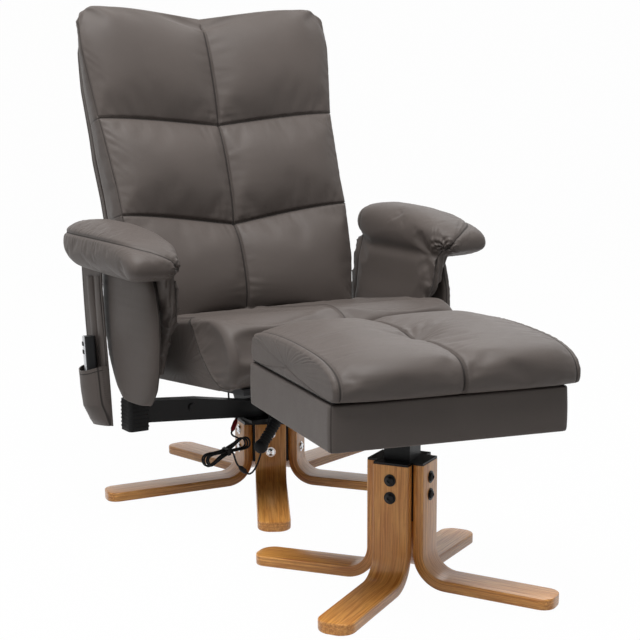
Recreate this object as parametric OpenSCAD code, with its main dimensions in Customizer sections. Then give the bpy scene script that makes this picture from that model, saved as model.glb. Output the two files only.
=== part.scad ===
// Massage recliner with a storage ottoman, both on bentwood legs.
// The chair faces -Y and the origin is on the floor, on the axis the chair swivels about.

/* [Chair base] */
// Distance from the swivel axis to the tip of a chair leg
base_leg_reach = 377; // [330:1:390]
// Width of every bent leg
leg_w = 68; // [56:1:70]
// Thickness of a chair leg
base_leg_t = 20; // [16:1:22]
// Height of the tops of the chair legs above the floor
base_leg_top = 155; // [140:1:158]
// Distance from the axis to the flats of the chair hub
base_hub_flat = 52; // [50:1:56]
// Inner radius of the bend in a chair leg
base_bend_r = 40; // [30:1:46]
// Height of the upper bolts in the chair legs
base_bolt_high = 133; // [126:1:138]
// Height of the lower bolts in the chair legs
base_bolt_low = 92; // [86:1:100]

/* [Ottoman] */
// Place of the ottoman across the chair
ottoman_x = -143; // [-160:1:-100]
// Place of the ottoman in front of the chair
ottoman_y = -720; // [-800:1:-700]
// Distance from the ottoman's post to the tip of a leg
ottoman_leg_reach = 293; // [260:1:310]
// Thickness of an ottoman leg
ottoman_leg_t = 20; // [16:0.5:24]
// Height of the tops of the ottoman's legs
ottoman_leg_top = 235; // [215:1:240]
// Inner radius of the bend in an ottoman leg
ottoman_bend_r = 44; // [34:1:50]
// Width of the square post
post_w = 50; // [36:1:50]
// Height of the upper bolts in the ottoman's legs
ottoman_bolt_high = 208; // [200:1:214]
// Height of the lower bolts in the ottoman's legs
ottoman_bolt_low = 176; // [165:1:184]
// Width of the storage box
box_w = 440; // [400:1:460]
// Depth of the storage box
box_d = 411; // [380:1:430]
// Height of the underside of the storage box
box_z = 312; // [300:1:330]
// Height of the storage box
box_h = 80; // [70:1:110]
// Thickness of the box's clad walls
box_wall = 14; // [10:1:18]
// Height of the lid's cushion
lid_h = 78; // [62:1:85]
// How far the lid stands out in front of the box
lid_front_over = 33; // [15:1:40]
// How far the lid stands out on the right of the box
lid_side_over = 18; // [4:1:24]

/* [Seat] */
// Width of the seat cushion
seat_w = 566; // [520:2:572]
// Depth of the seat cushion
seat_d = 415; // [380:1:425]
// Height of the seat cushion at its front
seat_front_h = 150; // [120:1:160]
// Height of the seat cushion at its rear
seat_rear_h = 128; // [110:1:135]
// Height of the seat's underside over the swivel axis
seat_z = 275; // [268:1:290]
// Tilt of the seat, front edge up
seat_tilt = 4.4; // [0:0.1:6]
// Thickness of the seat board
seat_board_t = 12; // [9:1:18]

/* [Backrest] */
// Distance of the recline pivot behind the swivel axis
pivot_y = 120; // [115:1:130]
// Height of the recline pivot
pivot_z = 330; // [322:1:340]
// Tilt of the backrest at rest
back_tilt = 17; // [15:0.5:20]
// Greatest width of the backrest
back_w = 644; // [600:2:660]
// Length of the backrest from its lower edge to the dip in its top edge
back_len = 667; // [600:1:700]
// Rise of the two top corners over the dip
back_corner_rise = 32; // [10:1:50]
// Thickness of the back cushion at its seams
back_pad_t = 64; // [50:1:70]
// Crown of a quilted panel over its seams
back_crown = 20; // [5:1:24]
// Thickness of the back board
back_board_t = 16; // [12:1:18]
// Thickness of the padded rear cover behind the board
back_cover_t = 15; // [10:1:20]

/* [Arms] */
// Distance between the inner faces of the two arms
arm_gap = 596; // [592:2:620]
// Width of an arm pad
arm_pad_w = 126; // [110:1:132]
// Length of an arm pad
arm_pad_len = 378; // [350:1:400]
// Height of an arm pad
arm_pad_h = 110; // [90:1:115]
// Height of the underside of the arm pads
arm_pad_z = 503; // [495:1:515]
// Thickness of the inner arm panel
arm_inner_t = 35; // [25:1:38]
// Thickness of the outer arm panel
arm_outer_t = 32; // [24:1:36]
// Free space between the two panels of an arm
arm_slot = 18; // [12:1:22]

/* [Lever and remote] */
// Radius of the lever's ribbed grip
grip_r = 12.5; // [10:0.5:14]
// Width of the remote
remote_w = 46; // [40:1:50]
// Thickness of the remote
remote_t = 24; // [20:1:26]
// Length of the remote
remote_len = 135; // [125:1:145]

/* [Lead] */
// Diameter of the thin lead
lead_d = 4; // [3:0.5:4.5]
// Turns in the tied hank
hank_turns = 3; // [2:1:4]

/* [Hidden] */
$fn = 48;

// Colours
leather = "#5b514c";
wood = "#c98d4e";
black_steel = "#1d1d1f";
black_plastic = "#26272a";
chrome = "#c9cbd0";
plywood = "#c9a877";
silver = "#d5d7da";
red_plastic = "#7d1a22";

// Clearances
gap = 0.3;
pin_clear = 0.05;
bolt_clear = 0.25;
overrun = 1;

// Glides
glide_r = 14;
glide_h = 3;
glide_boss_r = 11;
glide_inset = 26;

// Legs
leg_edge_r = 3;
leg_tip_r = 24;
leg_lap = 2;
leg_corner_gap = 0.8;
leg_step = 0.1;
base_slope = 2;
ottoman_slope = 1.8;
base_leg_count = 5;
base_leg_turn = -118.95;
ottoman_leg_count = 4;
ottoman_turn = -11.07;
ottoman_leg_turn = 42.6;

// Bolts through the legs
bolt_r = 4;
bolt_head_r = 8;
bolt_head_h = 5;
washer_r = 11;
washer_h = 1.5;
bolt_end = 8;

// Chair hub and swivel
hub_wall = 4;
hub_bottom = 66;
hub_plate_t = 6;
hub_plate_over = 6;
bearing_h = 9;
bearing_r = 62;
swivel_pin_r = 14;
swivel_plate_w = 200;
swivel_plate_d = 190;
swivel_plate_t = 6;
swivel_collar_r = 20;
plate_z = base_leg_top + hub_plate_t;
swivel_z = plate_z + bearing_h + gap;
carriage_z = swivel_z + swivel_plate_t;

// Cross-member
member_y = -60;
member_depth = 30;
member_wall = 4;
member_end_x = 0.5 * arm_gap + arm_inner_t + arm_slot - gap - member_wall;
member_end_top = 243;
member_end_low = 196;
member_mid_x = 207;
member_mid_top = 232;
member_mid_low = 186;
member_top = 212;
member_flat_x = 84;
member_bolt_x = 226;
member_bolt_z = 216;
member_bolt_r = 4;
member_bolt_h = 4;
pedestal_x = 38;
pedestal_t = 5;
pedestal_foot = 80;
pedestal_head = 125;
ear_top = 330;
ear_w = 40;
lever_y = -98;
lever_z = 245;
lever_pin_r = 5;

// Arm caps
cap_in_x = member_end_x - 18;
cap_w = 46;
cap_d = 48;
cap_z = 180;
cap_top = 246;
cap_y = member_y + 0.5 * member_depth - 22;
cap_rib = 2;
cap_rib_count = 7;
cap_r = 9;

// Arms
arm_in = 0.5 * arm_gap;
outer_in = arm_in + arm_inner_t + arm_slot;
arm_front_y = -228;
arm_pad_over = 14;
arm_pad_in = arm_in + arm_pad_over;
inner_tuck = 30;
outer_low_z = cap_top + gap;
outer_high_z = arm_pad_z - gap;
outer_h = outer_high_z - outer_low_z;
outer_front_y = -180;
outer_rear_y = 66;
inner_low_z = 292;
inner_rear_y = 150;
inner_front_y = -176;
inner_lean = 60;

// Height share, front edge share and rear edge share of the outer arm panel
outer_shares = [
    [0, 0.56, 0.34], [0.06, 0.7, 0.5], [0.14, 0.84, 0.64], [0.3, 0.95, 0.82],
    [0.5, 1, 0.94], [0.72, 0.98, 1], [0.9, 0.86, 1], [1, 0.74, 1]
];
outer_mid_y = -72;

// Seat
seat_rear_y = 70;
seat_front_y = seat_rear_y - seat_d;
seat_nose = 90;
seat_heel = 60;
seat_crown = 14;
seat_board_w = 478;
seat_board_front = 34;
seat_board_rear = 150;
seat_motor_x = 130;
seat_motor_y = -150;
motor_r = 30;
motor_h = 24;
motor_cap_r = 12;
motor_cap_h = 4;

// Recline brackets and pins
bracket_t = 5;
bracket_boss_r = 20;
recline_pin_r = 6;
recline_head_r = 10;
recline_head_h = 4;
back_board_w = 472;
back_plate_x = 0.5 * back_board_w + gap;
seat_ear_x = back_plate_x + bracket_t + 2 * gap;
back_plate_len = 170;

// Backrest, measured from the recline pivot along the back and forward from it
back_low = 52;
back_seam_w = 39;
back_rear_w = back_seam_w - back_pad_t;
back_board_low = 62;
back_board_drop = 29;
back_board_high = back_low + back_len - back_board_drop;
back_board_corner = 60;
back_edge_drop = 10;
back_rear_draw = 8;
back_rear_taper = 44;
back_rear_low = 12;
back_top_round = 12;
row_shares = [0, 0.29, 0.637, 1];
droop_sizes = [0, 28, 21];
back_width_shares = [
    [0, 0.83], [0.14, 0.885], [0.3, 0.9], [0.42, 0.905], [0.637, 0.935],
    [0.86, 0.985], [0.94, 1], [1, 0.975]
];
back_wrap_shares = [[0, 0.95], [0.33, 1], [0.67, 0.5], [0.93, 0.62], [1, 0.58]];
back_wrap = 42;
back_row_steps = 6;
back_front_steps = 20;
back_motor_x = 130;
cover_rim = 6;

// Control box under the seat
control_w = 110;
control_d = 84;
control_h = 34;
control_x = 130;
control_y = 62;
socket_r = 5;
socket_depth = 12;
socket_pin_r = 1;

// Side pocket on the right-hand arm, as seen from the front
pocket_x = -390;
pocket_y = 20;
pocket_w = 98;
pocket_lean = 7;
pocket_sheet = 3;
pocket_drop = 318;
pouch_h = 128;
pouch_out = 41;
pouch_toe = 12;
pouch_knee_share = 0.36;
pouch_knee_out_share = 0.95;
pocket_tab = 18;
pocket_top = arm_pad_z - gap;

// Remote in the pocket
remote_low = 56;
remote_twist = 18;
remote_centre = 20.6;
remote_edge_r = 5;
remote_face_t = 2;
button_r = 4.5;
button_out = 1.6;
button_travel = 1;
button_seat = 3;
button_gap_across = 9;
button_first = 16;
button_step = 17;

// Ottoman box, lid and hinges
box_edge_r = 8;
box_floor_t = 9;
post_low = 132;
post_wall = 3;
ottoman_hub_flat = 0.5 * leg_w + leg_corner_gap;
post_cap_margin = 1;
post_cap_t = 4;
post_flange_w = 170;
post_flange_t = 5;
knob_r = 7;
knob_h = 7;
knob_inset = 36;
lid_gap = 2.4;
lid_board_t = 12;
lid_board_inset = 6;
lid_z = box_z + box_h + lid_gap;
lid_cushion_z = lid_z + 1.8;
lid_rear_over = 6;
lid_crown = 16;
lid_tuft = 15;
lid_tuft_r = 70;
lid_edge = 26;
hinge_x = 130;
hinge_w = 60;
hinge_pin_r = 2;
hinge_barrel_r = 4;
hinge_leaf_t = 2;
hinge_leaf_len = 36;
hinge_y = 0.5 * box_d + hinge_barrel_r + 1;
hinge_z = box_z + box_h - hinge_barrel_r + 1;

// Lead, points along its four free stretches
exit_route = [
    [-108, -14, 263.8], [-110, -14, 253], [-112, -14, 236], [-112, -14, 218], [-110, -14.5, 200],
    [-107.5, -16.5, 188], [-105, -21, 180.5], [-103.4, -26.5, 176.4], [-103, -32, 174.4],
    [-103.9, -36, 173], [-106.8, -38, 169.5]
];
drop_route = [
    [-124.4, -50, 148.2], [-126.5, -51.5, 145.6], [-127.6, -54.5, 142.6], [-126.6, -59, 139.8],
    [-124.2, -63.5, 138.2], [-122.3, -68.9, 137.4], [-122.6, -73.7, 136.6], [-125.2, -77.3, 134.7],
    [-127.7, -78.82, 133.39]
];
link_route = [
    [-157.05, -95.885, 112.376], [-153.6, -96.2, 113.5], [-150, -96.3, 113.2],
    [-147, -96.1, 110.6], [-145, -95.7, 105.5], [-142.2, -95, 98], [-138.6, -93.8, 89.5],
    [-134.4, -92.7, 82.6], [-130, -92, 78]
];
return_route = [
    [-112, -90, 62], [-109, -89.7, 59.4], [-103, -90, 58.3], [-96, -91.5, 63], [-89, -95, 76],
    [-83, -99, 96], [-77, -102, 120], [-71, -103, 144], [-64, -104, 170], [-58, -104, 200],
    [-56, -104, 235], [-56, -104, 262], [-56, -104, 270.6]
];
lead_sides = 8;
coupler_r = 5;
inline_r = 5.5;

// Hank, an oval of loops drawn in at its tied waist
hank_centre = [-158, -86, 115];
hank_long = [0.93, -0.08, 0.36];
hank_half = 52;
hank_half_w = 15;
hank_waist = 0.24;
hank_pitch = 5.4;
hank_rings = 24;
hank_start = 58;
hank_end = 262;
tie_w = 6;
tie_t = 1.4;

// Working values
function unit(v) = v / norm(v);
function arc(centre, rx, ry, from, to, steps) = [
    for (i = [0:steps]) let (a = from + (to - from) * i / steps)
        centre + [rx * cos(a), ry * sin(a)]
];
function puff(share) = pow(1 - pow(2 * share - 1, 4), 0.6);
function middle(ring) = [for (k = [0:2]) [for (p = ring) p[k]] * [for (p = ring) 1] / len(ring)];

// A closed skin over a stack of rings, each ring turning left about the way the stack runs
module skin(rings) {
    n = len(rings[0]);
    m = len(rings);
    points = concat([for (ring = rings) each ring], [middle(rings[0]), middle(rings[m - 1])]);
    sides = [
        for (i = [0:m - 2], j = [0:n - 1]) let (k = (j + 1) % n)
            each [
                [i * n + j, (i + 1) * n + j, (i + 1) * n + k],
                [i * n + j, (i + 1) * n + k, i * n + k]
            ]
    ];
    low = [for (j = [0:n - 1]) [m * n, j, (j + 1) % n]];
    high = [for (j = [0:n - 1]) [m * n + 1, (m - 1) * n + (j + 1) % n, (m - 1) * n + j]];
    polyhedron(points = points, faces = concat(sides, low, high));
}

// A round tube along a list of points, framed by a direction it never runs along
function tube_ring(p, i, r, sides, side_way) = let (
        t = unit(p[min(i + 1, len(p) - 1)] - p[max(i - 1, 0)]),
        a = unit(cross(side_way, t)),
        b = cross(t, a)
    ) [for (k = [0:sides - 1]) let (q = 360 * k / sides) p[i] + r * (cos(q) * a + sin(q) * b)];
module tube(points, d, sides, side_way) {
    skin([for (i = [0:len(points) - 1]) tube_ring(points, i, 0.5 * d, sides, side_way)]);
}

// A cylinder from one point to another
module bar(from, to, r, r_far) {
    v = to - from;
    translate(from)
        rotate([0, acos(v[2] / norm(v)), atan2(v[1], v[0])])
            cylinder(h = norm(v), r1 = r, r2 = r_far);
}

// Rounded rectangle about the origin
module round_rect(w, d, r) {
    square([w - 2 * r, d], center = true);
    square([w, d - 2 * r], center = true);
    for (sx = [-1, 1], sy = [-1, 1])
        translate([sx * (0.5 * w - r), sy * (0.5 * d - r)])
            circle(r = r);
}

// Bent leg, its upright against the hub and its foot running out along +X
module bent_leg(inner, t, bend, reach, top, slope, bolts) {
    centre_x = inner + t + bend;
    run = (reach - centre_x + (bend + t) * sin(slope)) / cos(slope);
    centre_z = glide_h + (bend + t) * cos(slope) + run * sin(slope);
    difference() {
        translate([centre_x, 0, centre_z])
            rotate([90, 0, 0]) {
                rotate([0, 0, 180])
                    rotate_extrude(angle = 90 - slope, $fn = 96)
                        translate([bend + 0.5 * t, 0])
                            round_rect(t, leg_w, leg_edge_r);
                rotate([0, 0, 180])
                    translate([bend + 0.5 * t, 0, 0])
                        rotate([90, 0, 0])
                            linear_extrude(top - centre_z)
                                round_rect(t, leg_w, leg_edge_r);
                rotate([0, 0, 270 - slope])
                    leg_foot(t, bend, run);
            }
        for (z = bolts)
            translate([inner - overrun, 0, z])
                rotate([0, 90, 0])
                    cylinder(h = t + 2 * overrun, r = bolt_r + bolt_clear);
    }
}

// Foot of a bent leg, lapped a little into the bend and with its tip rounded in plan
module leg_foot(t, bend, run) {
    intersection() {
        translate([bend + 0.5 * t, -leg_lap, 0])
            rotate([-90, 0, 0])
                linear_extrude(run + leg_lap)
                    round_rect(t - 2 * leg_step, leg_w - 2 * leg_step, leg_edge_r - leg_step);
        translate([bend - overrun, 0, 0])
            rotate([90, 0, 90])
                linear_extrude(t + 2 * overrun) {
                    translate([-leg_lap - overrun, -0.5 * leg_w - overrun])
                        square([run - leg_tip_r + leg_lap + overrun, leg_w + 2 * overrun]);
                    translate([0, -0.5 * leg_w + leg_tip_r])
                        square([run, leg_w - 2 * leg_tip_r]);
                    for (s = [-1, 1])
                        translate([run - leg_tip_r, s * (0.5 * leg_w - leg_tip_r)])
                            circle(r = leg_tip_r);
                }
    }
}

// Dome-headed bolt pointing inwards along -X, its seat at the origin
module leg_bolt(shank, washer) {
    rotate([0, 90, 0]) {
        cylinder(h = washer, r = washer_r);
        translate([0, 0, washer])
            difference() {
                intersection() {
                    cylinder(h = bolt_head_h, r = bolt_head_r);
                    translate([0, 0, bolt_head_h - 1.5 * bolt_head_r])
                        sphere(r = 1.5 * bolt_head_r);
                }
                translate([0, 0, 0.5 * bolt_head_h])
                    cylinder(h = bolt_head_h, r = 0.45 * bolt_head_r, $fn = 6);
            }
        translate([0, 0, -shank])
            cylinder(h = shank, r = bolt_r);
    }
}

module base_leg(i) {
    color(wood)
        rotate([0, 0, base_leg_turn + 360 / base_leg_count * (i - 1)])
            bent_leg(base_hub_flat, base_leg_t, base_bend_r, base_leg_reach, base_leg_top,
                base_slope, [base_bolt_low, base_bolt_high]);
}
module base_leg_1() { base_leg(1); }
module base_leg_2() { base_leg(2); }
module base_leg_3() { base_leg(3); }
module base_leg_4() { base_leg(4); }
module base_leg_5() { base_leg(5); }

module pentagon(flat, h) {
    rotate([0, 0, base_leg_turn + 180 / base_leg_count])
        cylinder(h = h, r = flat / cos(180 / base_leg_count), $fn = base_leg_count);
}

module base_hub() {
    color(black_steel)
        difference() {
            union() {
                difference() {
                    translate([0, 0, hub_bottom])
                        pentagon(base_hub_flat, base_leg_top - hub_bottom);
                    translate([0, 0, hub_bottom + hub_plate_t])
                        pentagon(base_hub_flat - hub_wall, base_leg_top);
                }
                translate([0, 0, hub_bottom])
                    cylinder(h = plate_z - hub_bottom, r = swivel_pin_r + hub_wall);
                translate([0, 0, base_leg_top])
                    pentagon(base_hub_flat + base_leg_t + hub_plate_over, hub_plate_t);
            }
            translate([0, 0, hub_bottom - overrun])
                cylinder(h = plate_z, r = swivel_pin_r + pin_clear);
            for (i = [0:base_leg_count - 1], z = [base_bolt_low, base_bolt_high])
                rotate([0, 0, base_leg_turn + 360 / base_leg_count * i])
                    translate([base_hub_flat - hub_wall - overrun, 0, z])
                        rotate([0, 90, 0])
                            cylinder(h = hub_wall + 2 * overrun, r = bolt_r + bolt_clear);
        }
}

module base_bolts() {
    color(chrome)
        for (i = [0:base_leg_count - 1], z = [base_bolt_low, base_bolt_high])
            rotate([0, 0, base_leg_turn + 360 / base_leg_count * i])
                translate([base_hub_flat + base_leg_t, 0, z])
                    leg_bolt(base_leg_t + bolt_end, washer_h);
}

module glides(count, turn, reach, slope) {
    for (i = [0:count - 1])
        rotate([0, 0, turn + 360 / count * i])
            difference() {
                translate([reach - glide_inset, 0, 0]) {
                    cylinder(h = glide_h, r = glide_r);
                    cylinder(h = 2 * glide_h, r = glide_boss_r);
                }
                translate([reach, -glide_inset, glide_h])
                    rotate([0, slope, 0])
                        translate([-2 * glide_inset, 0, 0])
                            cube([2 * glide_inset, 2 * glide_inset, 2 * glide_h]);
            }
}

module base_glides() {
    color(black_plastic)
        glides(base_leg_count, base_leg_turn, base_leg_reach, base_slope);
}

module swivel_bearing() {
    color(black_steel)
        translate([0, 0, plate_z])
            difference() {
                cylinder(h = bearing_h, r = bearing_r);
                translate([0, 0, -overrun])
                    cylinder(h = bearing_h + 2 * overrun, r = swivel_collar_r + gap);
            }
}

module swivel_plate() {
    color(black_steel)
        translate([0, 0, swivel_z]) {
            translate([-0.5 * swivel_plate_w, -0.5 * swivel_plate_d, 0])
                cube([swivel_plate_w, swivel_plate_d, swivel_plate_t]);
            translate([0, 0, plate_z + gap - swivel_z])
                cylinder(h = swivel_z - plate_z - gap, r = swivel_collar_r);
            translate([0, 0, hub_bottom - swivel_z])
                cylinder(h = swivel_z - hub_bottom, r = swivel_pin_r);
        }
}

// Seat frame of reference, on the swivel axis and tilted with the seat
module on_seat() {
    translate([0, 0, seat_z])
        rotate([-seat_tilt, 0, 0])
            children();
}
function seat_under(y) = seat_z - seat_board_t / cos(seat_tilt) - y * tan(seat_tilt);

// Side view of a pedestal plate, from the swivel plate up to the seat board
module pedestal_side() {
    rotate([90, 0, 90])
        linear_extrude(pedestal_t)
            polygon([
                [-pedestal_foot, carriage_z], [pedestal_foot, carriage_z],
                [pedestal_head, seat_under(pedestal_head)],
                [-pedestal_head, seat_under(-pedestal_head)]
            ]);
}

// Front view of the cross-member, with its walls drawn in by a wall thickness
module member_front(wall) {
    half_top = [
        [member_flat_x, member_top - wall], [member_mid_x, member_mid_top - wall],
        [member_end_x - wall, member_end_top - wall]
    ];
    half_low = [
        [member_flat_x, carriage_z + wall], [member_mid_x, member_mid_low + wall],
        [member_end_x - wall, member_end_low + wall]
    ];
    polygon(concat(
        [for (i = [2:-1:0]) [-half_top[i][0], half_top[i][1]]], half_top,
        [for (i = [2:-1:0]) half_low[i]], [for (p = half_low) [-p[0], p[1]]]
    ));
}

module cross_member() {
    color(black_steel) {
        difference() {
            translate([0, member_y + member_depth, 0])
                rotate([90, 0, 0])
                    linear_extrude(member_depth)
                        member_front(0);
            translate([0, member_y + member_depth + overrun, 0])
                rotate([90, 0, 0])
                    linear_extrude(member_depth - member_wall + overrun)
                        member_front(member_wall);
            for (s = [-1, 1])
                translate([s * member_bolt_x, member_y - overrun, member_bolt_z])
                    rotate([-90, 0, 0])
                        cylinder(h = member_depth, r = member_bolt_r + bolt_clear);
        }
        for (s = [-1, 1])
            scale([s, 1, 1])
                ear();
        for (x = [-pedestal_x - pedestal_t, pedestal_x])
            translate([x, 0, 0])
                pedestal_side();
        translate([-pedestal_x, lever_y, lever_z])
            rotate([0, 90, 0])
                cylinder(h = 2 * pedestal_x, r = lever_pin_r);
    }
}

// Upright tongue that carries an outer arm panel
module ear() {
    translate([member_end_x, member_y + 0.5 * member_depth - 0.5 * ear_w, member_end_low])
        cube([member_wall, ear_w, ear_top - member_end_low]);
}

// Ribbed boot over one end of the cross-member
module arm_cap() {
    color(black_plastic)
        difference() {
            union() {
                translate([cap_in_x + 0.5 * cap_w, cap_y + 0.5 * cap_d, cap_z])
                    linear_extrude(cap_top - cap_z)
                        round_rect(cap_w, cap_d, cap_r);
                for (i = [1:cap_rib_count])
                    translate([cap_in_x + 0.5 * cap_w, cap_y + 0.5 * cap_d,
                            cap_z + (cap_top - cap_z) * i / (cap_rib_count + 1) - 0.5 * cap_rib])
                        linear_extrude(cap_rib)
                            round_rect(cap_w + cap_rib, cap_d + cap_rib, cap_r);
            }
            translate([cap_in_x - 2 * cap_rib, member_y - gap, member_end_low - 2 * cap_rib])
                cube([member_end_x + member_wall + gap - cap_in_x + 2 * cap_rib,
                    member_depth + 2 * gap, cap_top - member_end_low + 3 * cap_rib]);
            translate([member_end_x - gap, member_y + 0.5 * member_depth - 0.5 * ear_w - gap,
                    member_end_low - 2 * cap_rib])
                cube([member_wall + 2 * gap, ear_w + 2 * gap, cap_top]);
        }
}
module arm_cap_left() { arm_cap(); }
module arm_cap_right() { mirror([1, 0, 0]) arm_cap(); }

// One level of the outer arm panel, flat inside and crowned outside
function outer_ring(row) = let (
        z = outer_low_z + row[0] * outer_h,
        front = outer_mid_y + row[1] * (outer_front_y - outer_mid_y),
        rear = outer_mid_y + row[2] * (outer_rear_y - outer_mid_y),
        mid = 0.5 * (front + rear),
        half = 0.5 * (rear - front),
        ends = row[0] > 0.98 || row[0] < 0.02 ? 0.8 : 1
    ) concat(
        [for (a = [-90:22.5:90])
            [outer_in + gap + 0.25 * arm_outer_t + 0.75 * arm_outer_t * ends * pow(cos(a), 0.7),
                mid + half * sin(a), z]],
        [[outer_in + gap, rear - 0.25 * arm_outer_t, z], [outer_in + gap, front + 0.25 * arm_outer_t, z]]
    );
module arm_outer() {
    color(leather)
        skin([for (row = outer_shares) outer_ring(row)]);
}
module arm_outer_left() { arm_outer(); }
module arm_outer_right() { mirror([1, 0, 0]) arm_outer(); }

// One level of the inner arm panel, its front edge leaning back towards the seat
function inner_ring(share) = let (
        z = inner_low_z + share * (arm_pad_z + inner_tuck - inner_low_z),
        front = inner_front_y + (1 - share) * inner_lean,
        r = 0.4 * arm_inner_t,
        x = arm_in + 0.5 * arm_inner_t,
        half = 0.5 * arm_inner_t - r
    ) [
        for (q = [[1, -1, -90], [1, 1, 0], [-1, 1, 90], [-1, -1, 180]], k = [0:2])
            [
                x + q[0] * half + r * cos(q[2] + 45 * k),
                (q[1] < 0 ? front + r : inner_rear_y - r) + r * sin(q[2] + 45 * k),
                z
            ]
    ];
module arm_inner() {
    color(leather)
        difference() {
            skin([for (share = [0, 0.25, 0.5, 0.75, 1]) inner_ring(share)]);
            arm_pad();
        }
}
module arm_inner_left() { arm_inner(); }
module arm_inner_right() { mirror([1, 0, 0]) arm_inner(); }

// Length share, size share and drop share of the arm pad, from its front to its rear
pad_shares = [
    [0, 0.5, 0.38], [0.012, 0.68, 0.37], [0.035, 0.82, 0.34], [0.08, 0.93, 0.29], [0.16, 1, 0.2],
    [0.3, 1, 0.08], [0.45, 1, 0.03], [0.6, 1, 0.01], [0.82, 1, 0], [0.92, 0.94, 0], [0.97, 0.84, 0],
    [0.99, 0.7, 0], [1, 0.5, 0]
];
function pad_ring(row) = let (
        y = arm_front_y + row[0] * arm_pad_len,
        a = 0.5 * arm_pad_w * (0.3 + 0.7 * row[1]),
        half_high = 0.5 * arm_pad_h * (1 - row[2]),
        x = arm_pad_in + 0.5 * arm_pad_w
    ) [
        for (k = [0:15]) let (q = 22.5 * k, sx = sin(q), sz = cos(q))
            [
                x + a * sign(sx) * pow(abs(sx), 0.6),
                y,
                arm_pad_z + half_high * (1 + row[1] * sign(sz) * pow(abs(sz), 0.6))
            ]
    ];
module arm_pad() {
    color(leather)
        skin([for (row = pad_shares) pad_ring(row)]);
}
module arm_pad_left() { arm_pad(); }
module arm_pad_right() { mirror([1, 0, 0]) arm_pad(); }

module seat_frame() {
    color(plywood)
        on_seat()
            difference() {
                translate([-0.5 * seat_board_w, seat_front_y + seat_board_front, -seat_board_t])
                    cube([seat_board_w, seat_board_rear - seat_front_y - seat_board_front,
                        seat_board_t]);
                for (s = [-1, 1])
                    translate([s * seat_motor_x, seat_motor_y, -seat_board_t - overrun])
                        cylinder(h = seat_board_t + 2 * overrun, r = motor_r + gap);
            }
}

// Side outline of the seat cushion, underside first, then rear, top and waterfall front
function seat_outline() = concat(
    [for (k = [0:4]) [seat_front_y + seat_heel
        + (seat_d - seat_heel - 0.4 * seat_heel) * k / 4, 0]],
    arc([seat_rear_y - 0.4 * seat_heel, 0.45 * seat_rear_h], 0.4 * seat_heel, 0.45 * seat_rear_h,
        -60, 0, 2),
    arc([seat_rear_y - 0.4 * seat_heel, 0.7 * seat_rear_h], 0.4 * seat_heel, 0.3 * seat_rear_h,
        30, 90, 2),
    [for (k = [1:5]) let (t = k / 6)
        [seat_rear_y - 0.4 * seat_heel + t * (seat_front_y + seat_nose - seat_rear_y
            + 0.4 * seat_heel), seat_rear_h + t * (seat_front_h - seat_rear_h)]],
    arc([seat_front_y + seat_nose, seat_front_h - seat_nose], seat_nose, seat_nose, 90, 180, 6),
    arc([seat_front_y + seat_heel, seat_front_h - seat_nose], seat_heel, seat_front_h - seat_nose,
        200, 250, 2)
);
seat_stations = [-1, -0.985, -0.95, -0.88, -0.76, -0.6, -0.44, -0.28, -0.14, -0.05, 0,
    0.05, 0.14, 0.28, 0.44, 0.6, 0.76, 0.88, 0.95, 0.985, 1];
function seat_ring(s) = let (
        draw = abs(s) > 0.99 ? 0.78 : abs(s) > 0.97 ? 0.92 : abs(s) > 0.94 ? 0.97 : 1,
        mid = [seat_rear_y - 0.5 * seat_d, 0.42 * seat_front_h],
        rise = seat_crown * puff(abs(s))
    ) [
        for (p = seat_outline()) let (
            q = [mid[0] + (p[0] - mid[0]) * (p[1] > 0 ? 0.4 + 0.6 * draw : 1),
                p[1] > 0 ? mid[1] + (p[1] - mid[1]) * draw : 0],
            top = pow(max(0, p[1]) / seat_front_h, 2)
        ) [0.5 * seat_w * s, q[0] - 0.3 * rise * (1 - top) * (p[0] < mid[0] ? 1 : 0),
            q[1] - (seat_crown - rise) * top]
    ];
module seat_cushion() {
    color(leather)
        on_seat()
            skin([for (s = seat_stations) seat_ring(s)]);
}

// Ears on the seat board that hold the recline pins
module seat_brackets() {
    color(black_steel)
        for (s = [-1, 1])
            scale([s, 1, 1])
                difference() {
                    union() {
                        on_seat()
                            translate([seat_ear_x - ear_w, seat_rear_y + 2 * bracket_t, 0])
                                cube([ear_w + bracket_t,
                                    seat_board_rear - seat_rear_y - 2 * bracket_t, bracket_t]);
                        translate([seat_ear_x, 0, 0])
                            seat_ear();
                    }
                    translate([seat_ear_x - overrun, pivot_y, pivot_z])
                        rotate([0, 90, 0])
                            cylinder(h = bracket_t + 2 * overrun, r = recline_pin_r + pin_clear);
                }
}
module seat_ear() {
    foot_z = seat_z - seat_board_rear * tan(seat_tilt);
    rotate([90, 0, 90])
        linear_extrude(bracket_t) {
            translate([pivot_y, pivot_z])
                circle(r = bracket_boss_r);
            polygon([
                [seat_rear_y + 3 * bracket_t, seat_z - seat_rear_y * tan(seat_tilt)],
                [seat_board_rear - bracket_t, foot_z + bracket_t],
                [pivot_y + bracket_boss_r, pivot_z], [pivot_y - bracket_boss_r, pivot_z]
            ]);
        }
}

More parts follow.
